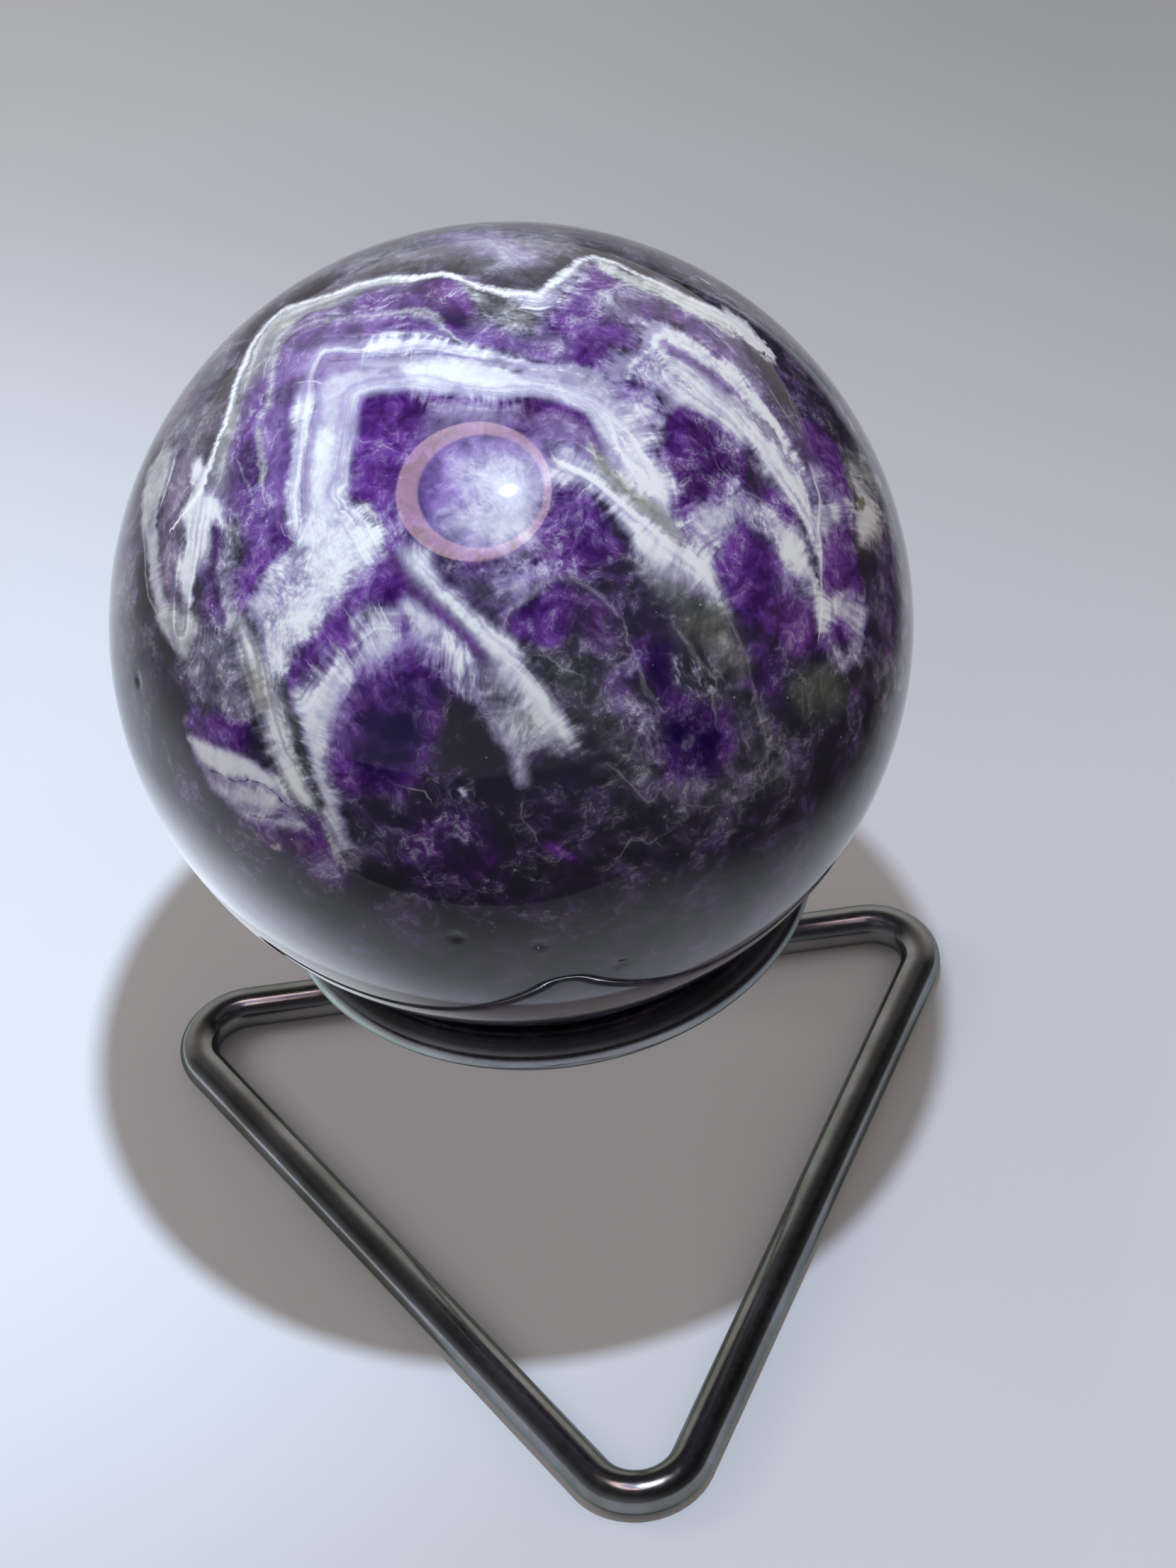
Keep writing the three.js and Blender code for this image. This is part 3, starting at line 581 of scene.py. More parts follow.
    ("green quartz right", 0.8, dict(green=0.8, violet=0.1, milk=0.14, fleck=0.5),
     [(1135, 955), (1170, 950), (1190, 985), (1170, 1010), (1140, 1000)]),
    ("crackled quartz", 1.6, dict(green=0.45, violet=0.22, milk=0.2, fleck=0.6),
     [(830, 930), (900, 900), (1000, 890), (1080, 940), (1120, 1040), (1090, 1140), (980, 1170), (860, 1150),
      (820, 1060)]),
    ("violet strip", 0.5, dict(violet=0.5, indigo=0.1, milk=0.2, fleck=0.6),
     [(852, 948), (880, 930), (905, 955), (900, 990), (870, 990)]),
    ("indigo strip", 0.5, dict(violet=0.9, indigo=0.8, milk=0.03, fleck=0.4),
     [(900, 908), (935, 905), (958, 935), (955, 985), (925, 985), (905, 950)]),
    ("deep indigo", 0.6, dict(violet=0.9, indigo=1.0, milk=0.0, fleck=0.2),
     [(931, 995), (980, 988), (1024, 1005), (1030, 1060), (1000, 1098), (950, 1090), (930, 1050)]),
    ("lilac-grey streak", 0.5, dict(milk=0.34, violet=0.4, green=0.3, fibre=0.6, fleck=0.8),
     [(884, 993), (910, 985), (931, 1010), (928, 1070), (905, 1062), (890, 1030)]),
    ("white point", 0.12, dict(milk=1.0, violet=0.1), [(649, 1110), (657, 1107), (661, 1117), (654, 1123)]),
    ("violet fleck", 0.2, dict(milk=0.3, violet=0.9, indigo=0.0, fibre=0.6),
     [(770, 1188), (790, 1192), (808, 1206), (822, 1222), (802, 1214), (780, 1202)]),
    ("white knot", 0.8, dict(milk=0.42, violet=0.2, fibre=1.0, fleck=0.6),
     [(961, 940), (985, 935), (1010, 955), (1003, 972), (980, 972), (965, 960)]),
    ("purple with flecks", 0.6, dict(violet=0.55, indigo=0.3, milk=0.08, fleck=0.8),
     [(1040, 868), (1060, 885), (1090, 905), (1100, 930), (1100, 990), (1060, 975), (1050, 930), (1042, 900)]),
    ("violet speckles", 0.8, dict(violet=0.5, indigo=0.3, milk=0.1, fleck=0.8),
     [(575, 1155), (620, 1135), (680, 1160), (710, 1200), (700, 1245), (640, 1255), (590, 1235), (570, 1200)]),
    ("left edge, pale strip", 0.3, dict(milk=0.72, green=0.6, violet=0.1, rose=0.0, fibre=0.3, fleck=0.3),
     [(232, 625), (252, 635), (234, 675), (225, 710), (225, 750), (226, 800), (237, 855), (252, 880), (262, 925),
      (240, 910), (221, 880), (214, 840), (205, 780), (199, 740), (202, 695), (212, 660)]),
    ("left edge, mauve strip", 0.35, dict(milk=0.4, rose=0.7, violet=0.45, green=0.3, fibre=0.3, fleck=0.3),
     [(245, 635), (265, 640), (268, 690), (258, 712), (254, 760), (252, 800), (254, 855), (238, 862), (230, 820),
      (226, 760), (226, 715), (236, 690)]),
    ("left edge cream", 0.3, dict(milk=1.0, green=0.6, violet=0.05, rose=0.05, fibre=0.4, fleck=0.2),
     [(272, 650), (285, 645), (298, 665), (289, 690), (292, 712), (296, 745), (292, 775), (276, 800), (270, 850),
      (262, 858), (250, 820), (252, 790), (258, 760), (256, 725), (270, 700)]),
    ("left edge hook", 0.22, dict(milk=1.0, green=0.3, fibre=0.4, fleck=0.0),
     [(288, 704), (300, 706), (312, 722), (319, 740), (317, 757), (311, 752), (306, 738), (294, 738), (286, 725)]),
    ("dark inside the hook", 0.3, dict(milk=0.02, green=0.1, violet=0.4, indigo=0.2, fleck=0.3),
     [(303, 740), (312, 752), (311, 780), (304, 800), (306, 840), (318, 868), (322, 885), (306, 866), (292, 838),
      (288, 810), (296, 785), (300, 765)]),
    ("grey right of the hook", 0.5, dict(milk=0.36, green=0.7, violet=0.2, fleck=0.7),
     [(316, 755), (330, 730), (340, 745), (338, 790), (322, 790)]),
    ("clear crystals at the left", 0.35, dict(milk=0.44, green=0.4, violet=0.4, fleck=0.6, fibre=0.4),
     [(308, 790), (322, 792), (332, 815), (334, 850), (330, 878), (318, 862), (308, 830)]),
    ("left edge foot", 0.3, dict(milk=0.72, green=0.7, ochre=0.1, violet=0.1, fibre=0.5, fleck=0.6),
     [(222, 862), (250, 858), (275, 862), (283, 895), (272, 900), (268, 930), (258, 932), (242, 908), (226, 890)]),
    ("left lower quartz", 0.6, dict(green=0.45, violet=0.3, milk=0.36, indigo=0.05, fibre=0.5, fleck=1.0),
     [(282, 890), (330, 885), (345, 940), (352, 980), (365, 1020), (385, 1060), (360, 1060), (335, 1040),
      (300, 1010), (270, 985), (255, 945)]),
    ("left violet streak", 0.5, dict(violet=0.85, indigo=0.1, milk=0.12, green=0.0, fleck=0.5),
     [(262, 1005), (300, 1010), (345, 1025), (365, 1045), (350, 1062), (320, 1052), (290, 1040), (262, 1025)]),
    ("left banded patch", 0.3, dict(milk=0.45, violet=0.5, rose=0.15, green=0.15, fibre=0.3, fleck=0.1),
     [(262, 1038), (301, 1048), (350, 1068), (395, 1098), (410, 1120), (426, 1150), (440, 1180), (400, 1178),
      (365, 1168), (325, 1140), (295, 1112), (276, 1080)]),
    ("first stripe of the left patch", 0.2, dict(milk=0.95, violet=0.35, green=0.15, fibre=0.2),
     [(262, 1042), (295, 1049), (345, 1070), (390, 1099), (400, 1117), (375, 1108), (345, 1098), (310, 1089),
      (280, 1074)]),
    ("second stripe of the left patch", 0.3, dict(milk=0.82, violet=0.4, fibre=0.3),
     [(293, 1098), (330, 1104), (375, 1117), (402, 1128), (410, 1142), (370, 1139), (330, 1129), (305, 1114)]),
    ("third stripe of the left patch", 0.3, dict(milk=0.85, violet=0.5, fibre=0.3),
     [(343, 1145), (385, 1149), (416, 1153), (434, 1173), (405, 1173), (370, 1163)]),
    ("glittering violet", 0.5, dict(milk=0.14, violet=0.95, rose=0.25, indigo=0.1, fleck=1.0),
     [(362, 1168), (400, 1174), (432, 1182), (458, 1196), (452, 1207), (412, 1203), (380, 1192)]),
    ("grey tail of the strands", 1.0, dict(milk=0.36, green=0.4, violet=0.2, fibre=0.6, fleck=0.5),
     [(455, 1178), (472, 1196), (494, 1204), (522, 1226), (562, 1262), (522, 1252), (486, 1234), (462, 1210)]),
    ("first strand", 0.5, dict(milk=0.8, green=0.75, violet=0.1, fibre=0.4, fleck=0.3),
     [(329, 868), (348, 866), (360, 900), (372, 930), (384, 955), (398, 990), (411, 1030), (421, 1058), (429, 1084),
      (439, 1110), (448, 1140), (441, 1151), (424, 1138), (405, 1115), (390, 1088), (380, 1060), (371, 1030),
      (361, 992), (350, 960), (339, 925), (331, 890)]),
    ("second strand", 0.4, dict(milk=0.86, green=0.25, violet=0.3, fibre=0.4, fleck=0.0),
     [(418, 980), (446, 978), (453, 1020), (457, 1058), (463, 1088), (471, 1118), (479, 1148), (488, 1172),
      (498, 1192), (484, 1196), (466, 1178), (454, 1152), (445, 1122), (437, 1092), (430, 1062), (423, 1022)]),
    ("gap between the strands", 0.22, dict(milk=0.14, green=0.7, violet=0.1, fibre=0.7, fleck=0.6),
     [(413, 1010), (422, 1015), (428, 1045), (434, 1070), (440, 1095), (449, 1122), (456, 1142), (449, 1138),
      (441, 1118), (434, 1098), (427, 1078), (419, 1055)]),
    ("dark wedge beside the strands", 0.25, dict(milk=0.04, violet=0.6, indigo=0.2, rose=0.2, fleck=0.6),
     [(432, 1142), (446, 1152), (456, 1172), (462, 1198), (448, 1184), (436, 1164)]),
    ("ochre spot", 0.4, dict(ochre=1.0, milk=0.6, green=0.5),
     [(352, 960), (362, 954), (376, 972), (378, 996), (364, 992), (356, 978)]),
    ("lilac below the band", 0.5, dict(milk=0.3, violet=0.6, fleck=0.7),
     [(395, 1195), (430, 1200), (465, 1205), (495, 1232), (502, 1250), (460, 1240), (420, 1222)]),
    ("yellow fleck", 0.12, dict(ochre=1.0, milk=0.8, green=0.6), [(386, 1191), (395, 1191), (397, 1201), (388, 1202)]),
    ("pink fleck", 0.12, dict(rose=1.0, violet=1.0, milk=0.34), [(418, 1188), (430, 1188), (430, 1198), (419, 1199)]),
)

# A line is its name, its width in pixels, how strong it is, and its path.
WHITE_LINES = (
    ("zigzag", 12, 1.0, ZIGZAG),
    ("zigzag's left arm", 18, 1.0, ZIGZAG[2:12]),
    ("left edge line", 4, 0.3, [(226, 646), (205, 692), (201, 742), (203, 781), (209, 838), (223, 877)]),
    ("cream line of the left edge", 7, 0.6, [(247, 645), (240, 665), (234, 684), (226, 710)]),
    ("rim's white spot", 11, 0.8, [(988, 391), (1004, 401)]),
    ("right edge line", 5, 0.6,
     [(1148, 670), (1156, 700), (1157, 750), (1160, 800), (1158, 850), (1154, 897)]),
)
PALE_LINES = (
    ("pale vein", 7, 0.32,
     [(712, 880), (718, 862), (737, 845), (760, 830), (785, 818), (815, 822), (842, 838), (868, 858), (880, 875),
      (886, 900), (900, 928), (908, 974), (931, 1001)]),
    ("lilac line", 13, 0.8,
     [(372, 704), (368, 680), (367, 620), (365, 600), (369, 583), (379, 573), (383, 540), (386, 510), (394, 485),
      (402, 471), (425, 461), (450, 454), (500, 445), (540, 443), (575, 438), (595, 441), (613, 448), (624, 461),
      (638, 471), (652, 480)]),
    ("second line of the right peak", 5, 0.55,
     [(842, 428), (851, 414), (870, 406), (890, 400), (925, 408), (958, 427), (985, 445), (1010, 468), (1037, 497)]),
    ("hair of the band", 3, 0.8, [(511, 488), (511, 514)]),
    ("second hair of the band", 3, 0.8, [(586, 476), (580, 509)]),
    ("bright mark of the corner", 4, 0.8, [(420, 542), (438, 537), (456, 540)]),
    ("rim line", 5, 0.5, [(1000, 402), (1022, 424), (1045, 440)]),
    ("rim line by the broad end", 5, 0.5, [(1068, 432), (1082, 455), (1098, 477)]),
    ("rim line of the right side", 4, 0.5, [(1085, 545), (1100, 570), (1125, 606)]),
    ("second rim line", 4, 0.4, [(1112, 555), (1125, 585), (1131, 600)]),
    ("line below the right peak", 4, 0.25, [(1000, 640), (1046, 690), (1090, 715), (1120, 750), (1146, 800)]),
    ("vein under the left arm", 5, 0.5, [(335, 650), (340, 668), (352, 690), (357, 712)]),
    ("vein by the feather", 4, 0.5, [(392, 742), (402, 754), (413, 762)]),
    ("plume under the roof", 9, 0.6, [(467, 903), (480, 925), (493, 956)]),
    ("second plume under the roof", 9, 0.6, [(520, 868), (532, 888), (546, 906)]),
    ("third plume under the roof", 9, 0.6, [(492, 868), (503, 888), (516, 906)]),
    ("fourth plume under the roof", 9, 0.6, [(438, 940), (456, 958), (476, 976)]),
    ("fifth plume under the roof", 4, 0.8, [(535, 860), (546, 882)]),
    ("wisp of the third diagonal", 4, 0.4, [(770, 925), (790, 945), (812, 952)]),
    ("vein of the right", 5, 0.22, [(1018, 850), (1040, 890), (1055, 935), (1065, 980), (1078, 1040), (1087, 1094)]),
    ("lace of the green quartz", 6, 0.35,
     [(955, 888), (972, 912), (990, 940), (1012, 956), (1008, 985), (1012, 1024)]),
    ("edge of the olive floor", 4, 0.2,
     [(955, 1122), (972, 1140), (1004, 1143), (1040, 1130), (1072, 1112), (1092, 1098), (1122, 1068)]),
    ("rim of the facets", 4, 0.35, [(862, 1084), (888, 1104), (912, 1132), (922, 1126), (927, 1114)]),
    ("clear facet", 4, 0.22, [(866, 1210), (876, 1212), (892, 1184), (901, 1180), (915, 1190), (935, 1178)]),
    ("rim of the clear crystal", 4, 0.25, [(738, 1128), (735, 1150), (750, 1168), (765, 1192)]),
    ("edge of the black quartz", 4, 0.4, [(560, 1108), (575, 1112), (596, 1116), (606, 1132)]),
)
DARK_LINES = (
    ("middle of the band", 4, 0.35, BAND_MIDDLE_LINE[:-2]),
    ("left patch's dark line", 4, 0.85,
     [(290, 1085), (310, 1090), (330, 1098), (355, 1103), (375, 1107), (390, 1120), (405, 1135)]),
    ("left patch's second dark line", 5, 0.6, [(355, 1150), (375, 1156), (400, 1150), (412, 1158)]),
    ("lens of the lower left", 5, 0.5, [(310, 1012), (322, 992), (336, 1002)]),
)
GRAIN_LINES = (
    ZIGZAG, BAND_OUTER_EDGE, BAND_INNER_EDGE, BAND_UPPER_EDGE, PEAK_OUTER_EDGE, PEAK_INNER_EDGE, LILAC_LINE,
    [(606, 772), (654, 818), (706, 886), (744, 920), (778, 958), (812, 1004), (844, 1068)],
    [(560, 862), (520, 864), (500, 880), (470, 905), (440, 940), (416, 976)], [(486, 690), (520, 735), (546, 790)],
    [(800, 636), (848, 662), (888, 698), (934, 740), (980, 770), (1014, 802), (1032, 862)],
    [(340, 877), (363, 970), (390, 1058), (444, 1155), (494, 1228)],
    [(276, 704), (262, 800), (255, 880)], [(1127, 761), (1158, 819), (1158, 897)],
)

LEVELS = ("milk", "violet", "indigo", "green", "rose", "ochre", "fibre", "fleck")
PLAIN = dict(milk=0.03, violet=0.22, indigo=0.15, green=0.25, rose=0.0, ochre=0.0, fibre=0.4, fleck=0.32)
STEP_PIXELS = 24  # a path is cast onto the ball in steps no longer than this


def cast_path(pixels, closed):
    """A path in the photograph's pixels as points on the ball, close enough together to follow it."""
    corners = np.array(list(pixels) + ([pixels[0]] if closed else []), float)
    fine = [corners[:1]]
    for a, b in zip(corners[:-1], corners[1:]):
        parts = max(1, math.ceil(np.linalg.norm(b - a) / STEP_PIXELS))
        share = np.arange(1, parts + 1)[:, None] / parts
        fine.append(a + (b - a) * share)
    return on_ball(np.concatenate(fine))


def nearest(points, path):
    """How far points are from a path, the nearest place on it, the share of its length there, and the side."""
    normal = (path + np.roll(path, -1, 0))[:-1] / 2 - np.array(BALL_CENTRE)
    step = path[1:] - path[:-1]
    across = np.cross(step, normal)
    across /= np.linalg.norm(across, axis=1)[:, None] + 1e-12
    run = np.concatenate(([0.0], np.cumsum(np.linalg.norm(step, axis=1))))
    best = np.full(len(points), 1e9)
    foot = np.zeros_like(points)
    share = np.zeros(len(points))
    side = np.zeros(len(points))
    for k in range(len(step)):
        size = step[k] @ step[k] + 1e-18
        t = np.clip((points - path[k]) @ step[k] / size, 0, 1)
        place = path[k] + t[:, None] * step[k]
        away = points - place
        distance = np.einsum("ij,ij->i", away, away)
        closer = distance < best
        way = np.repeat(across[k][None], len(points), 0)
        if k > 0:
            way[t == 0] = across[k] + across[k - 1]
        if k < len(step) - 1:
            way[t == 1] = across[k] + across[k + 1]
        best[closer] = distance[closer]
        foot[closer] = place[closer]
        share[closer] = ((run[k] + t * math.sqrt(size)) / run[-1])[closer]
        side[closer] = np.sign(np.einsum("ij,ij->i", away, way))[closer]
    return np.sqrt(best), foot, share, side


def inside(pixels, outline):
    """Which pixels (n, 2) are inside a closed outline."""
    found = np.zeros(len(pixels), bool)
    for (ax, ay), (bx, by) in zip(outline, outline[1:] + outline[:1]):
        if ay == by:
            continue
        spans = (ay > pixels[:, 1]) != (by > pixels[:, 1])
        found ^= spans & (pixels[:, 0] < (bx - ax) * (pixels[:, 1] - ay) / (by - ay) + ax)
    return found


def near(points, path, reach):
    """The indices of points within reach of the ball that holds a path."""
    middle = path.mean(0)
    size = np.linalg.norm(path - middle, axis=1).max()
    return np.nonzero(np.linalg.norm(points - middle, axis=1) < size + reach)[0]


SOFTEN = 1.8


def paint_patches(levels, points):
    """Lays the patches on the levels (n, number of levels) of points, in their order."""
    pixels = to_photo(points)
    facing = (points - np.array(BALL_CENTRE)) @ np.array(CAMERA - BALL_CENTRE) > BALL_RADIUS**2 * 0.9
    for name, soft, sets, outline in PATCHES:
        sets = {k: v for k, v in sets.items() if k != "fibre"} | {"fibre": sets.get("fibre", 0.5)}
        path = cast_path(outline, True)
        soft *= SOFTEN
        chosen = near(points, path, 2 * soft * MM)
        distance = nearest(points[chosen], path)[0]
        is_in = inside(pixels[chosen], outline) & facing[chosen]
        cover = np.clip(0.5 + np.where(is_in, distance, -distance) / (2 * soft * MM), 0, 1)
        at_edge = 4 * cover * (1 - cover)
        for key, value in sets.items():
            column = LEVELS.index(key)
            if key == "fibre":
                value = value * (0.5 + 0.5 * at_edge)
                cover = np.clip(2 * cover, 0, 1)
            levels[chosen, column] += cover * (value - levels[chosen, column])


FAR = 9.0


HALO = 0.5 * MM  # how far the milk beside a white line reaches


def paint_lines(lines, group, points, levels, halo):
    """Sets a group of lines (n, 3): place across the line in half widths, distance in mm, and strength.
    halo is how much milk a line has beside it."""
    for name, width, strength, pixels in lines:
        path = cast_path(pixels, False)
        chosen = near(points, path, 1.5 * MM)
        distance, foot, share, side = nearest(points[chosen], path)
        half = width / 2 * PIXEL_ON_BALL
        taper = np.clip(np.minimum(share, 1 - share) * 8 + 0.35, 0.35, 1)
        closer = distance / MM < group[chosen, 1]
        rows = chosen[closer]
        group[rows, 0] = (side * distance / (half * taper))[closer]
        group[rows, 1] = (distance / MM)[closer]
        group[rows, 2] = strength
        beside = halo * strength * np.exp(-((distance / HALO) ** 2))
        levels[chosen, 0] = np.maximum(levels[chosen, 0], beside)


PIXEL_ON_BALL = (CAMERA - BALL_CENTRE).length / FOCAL_PIXELS * 0.95


def grain_places(points):
    """Where each point's streak starts on the growth lines, blended between those near it, and its distance from them."""
    total = np.zeros((len(points), 3))
    weights = np.full(len(points), 1e-9)
    depth = np.full(len(points), 1e9)
    for pixels in GRAIN_LINES:
        distance, foot = nearest(points, cast_path(pixels, False))[:2]
        depth = np.minimum(depth, distance)
        weight = 1 / (distance**2 + (0.6 * MM) ** 2) ** 1.5
        weight /= 1 / (0.6 * MM) ** 3
        total += weight[:, None] * foot
        weights += weight
    return total / weights[:, None], depth


def wavy(points, amount, size, seed):
    """Points moved by smooth noise, by up to amount, in waves of about size."""
    shift = Vector((seed * 17.3, seed * 5.9, seed * 11.1))
    moved = [Vector(p) + amount * noise.noise_vector(Vector(p) / size + shift) for p in points]
    return np.array(moved)


def spread(points):
    """Points drawn in towards the camera's side, so that what is painted there spreads over the whole far side."""
    facing = np.array((CAMERA - BALL_CENTRE).normalized())
    away = points - np.array(BALL_CENTRE)
    reach = np.linalg.norm(away, axis=1)
    along = away @ facing / reach
    angle = np.arccos(np.clip(along, -1, 1))
    sideways = away / reach[:, None] - along[:, None] * facing
    sideways /= np.linalg.norm(sideways, axis=1)[:, None] + 1e-12
    drawn = np.where(angle < SPREAD_EDGE, angle * SPREAD, SPREAD_EDGE * SPREAD + (angle - SPREAD_EDGE) * 3)
    drawn = np.minimum(drawn, math.radians(120))[:, None]
    return np.array(BALL_CENTRE) + reach[:, None] * (np.cos(drawn) * facing + np.sin(drawn) * sideways)


def set_attribute(mesh, name, rows):
    made = mesh.attributes.new(name, "FLOAT_VECTOR", "POINT")
    made.data.foreach_set("vector", np.ascontiguousarray(rows, np.float32).ravel())


FAR_SIDE_AXIS_TURN = math.radians(104)
SPREAD = 0.74
SPREAD_EDGE = math.radians(86)


def paint_ball(mesh):
    """Gives the ball's mesh the levels and lines that its material reads."""
    rest = np.zeros(len(mesh.vertices) * 3)
    mesh.vertices.foreach_get("co", rest)
    rest = rest.reshape(-1, 3)
    centre = np.array(BALL_CENTRE)
    levels = np.tile([PLAIN[k] for k in LEVELS], (len(rest), 1)).astype(float)
    groups = [np.tile([FAR, FAR, 0.0], (len(rest), 1)) for _ in range(3)]
    foot = np.zeros_like(rest)
    depth = np.zeros(len(rest))
    hidden = (rest - centre) @ np.array(CAMERA - BALL_CENTRE) < BALL_RADIUS**2
    axis = math.cos(FAR_SIDE_AXIS_TURN) * RIGHT + math.sin(FAR_SIDE_AXIS_TURN) * DOWN
    half_turn = np.array(Matrix.Rotation(math.pi, 3, axis))
    for far_side in (True, False):
        points = spread((rest - centre) @ half_turn.T + centre) if far_side else rest
        waves = (1.6, 0.5) if far_side else (0.35, 0.14)
        points = wavy(wavy(points, waves[0] * MM, (9 if far_side else 4) * MM, 1 + far_side), waves[1] * MM, 1.2 * MM, 3)
        paint_patches(levels, points)
        for lines, group, halo in zip((WHITE_LINES, PALE_LINES, DARK_LINES), groups, (0.5, 0.3, 0.0)):
            paint_lines(lines, group, points, levels, halo)
        side = hidden if far_side else ~hidden
        foot[side], depth[side] = grain_places(points[side])
    set_attribute(mesh, "milk_violet_indigo", levels[:, 0:3])
    set_attribute(mesh, "green_rose_ochre", levels[:, 3:6])
    set_attribute(mesh, "fibre_fleck_depth", np.column_stack((levels[:, 6:8], depth / MM)))
    for name, group in zip(("white_line", "pale_line", "dark_line"), groups):
        set_attribute(mesh, name, group)
    set_attribute(mesh, "grain", foot)


# ---- Materials ----


def add(tree, kind, inputs=None, **settings):
    """Adds a node, sets its settings, and gives its inputs a value or a link."""
    made = tree.nodes.new(kind)
    for name, value in settings.items():
        setattr(made, name, value)
    for socket, value in (inputs or {}).items():
        if isinstance(value, bpy.types.NodeSocket):
            tree.links.new(value, made.inputs[socket])
        else:
            made.inputs[socket].default_value = value
    return made


def new_material(name):
    made = bpy.data.materials.new(name)
    made.use_nodes = True
    made.node_tree.nodes.clear()
    return made, made.node_tree


MATH = "ShaderNodeMath"
VECTOR_MATH = "ShaderNodeVectorMath"
NOISE = "ShaderNodeTexNoise"
RANGE = "ShaderNodeMapRange"
MIX = "ShaderNodeMix"
ATTRIBUTE = "ShaderNodeAttribute"
SPLIT = "ShaderNodeSeparateXYZ"
VORONOI = "ShaderNodeTexVoronoi"
MIX_A, MIX_B = 6, 7  # a colour Mix node's two colour inputs


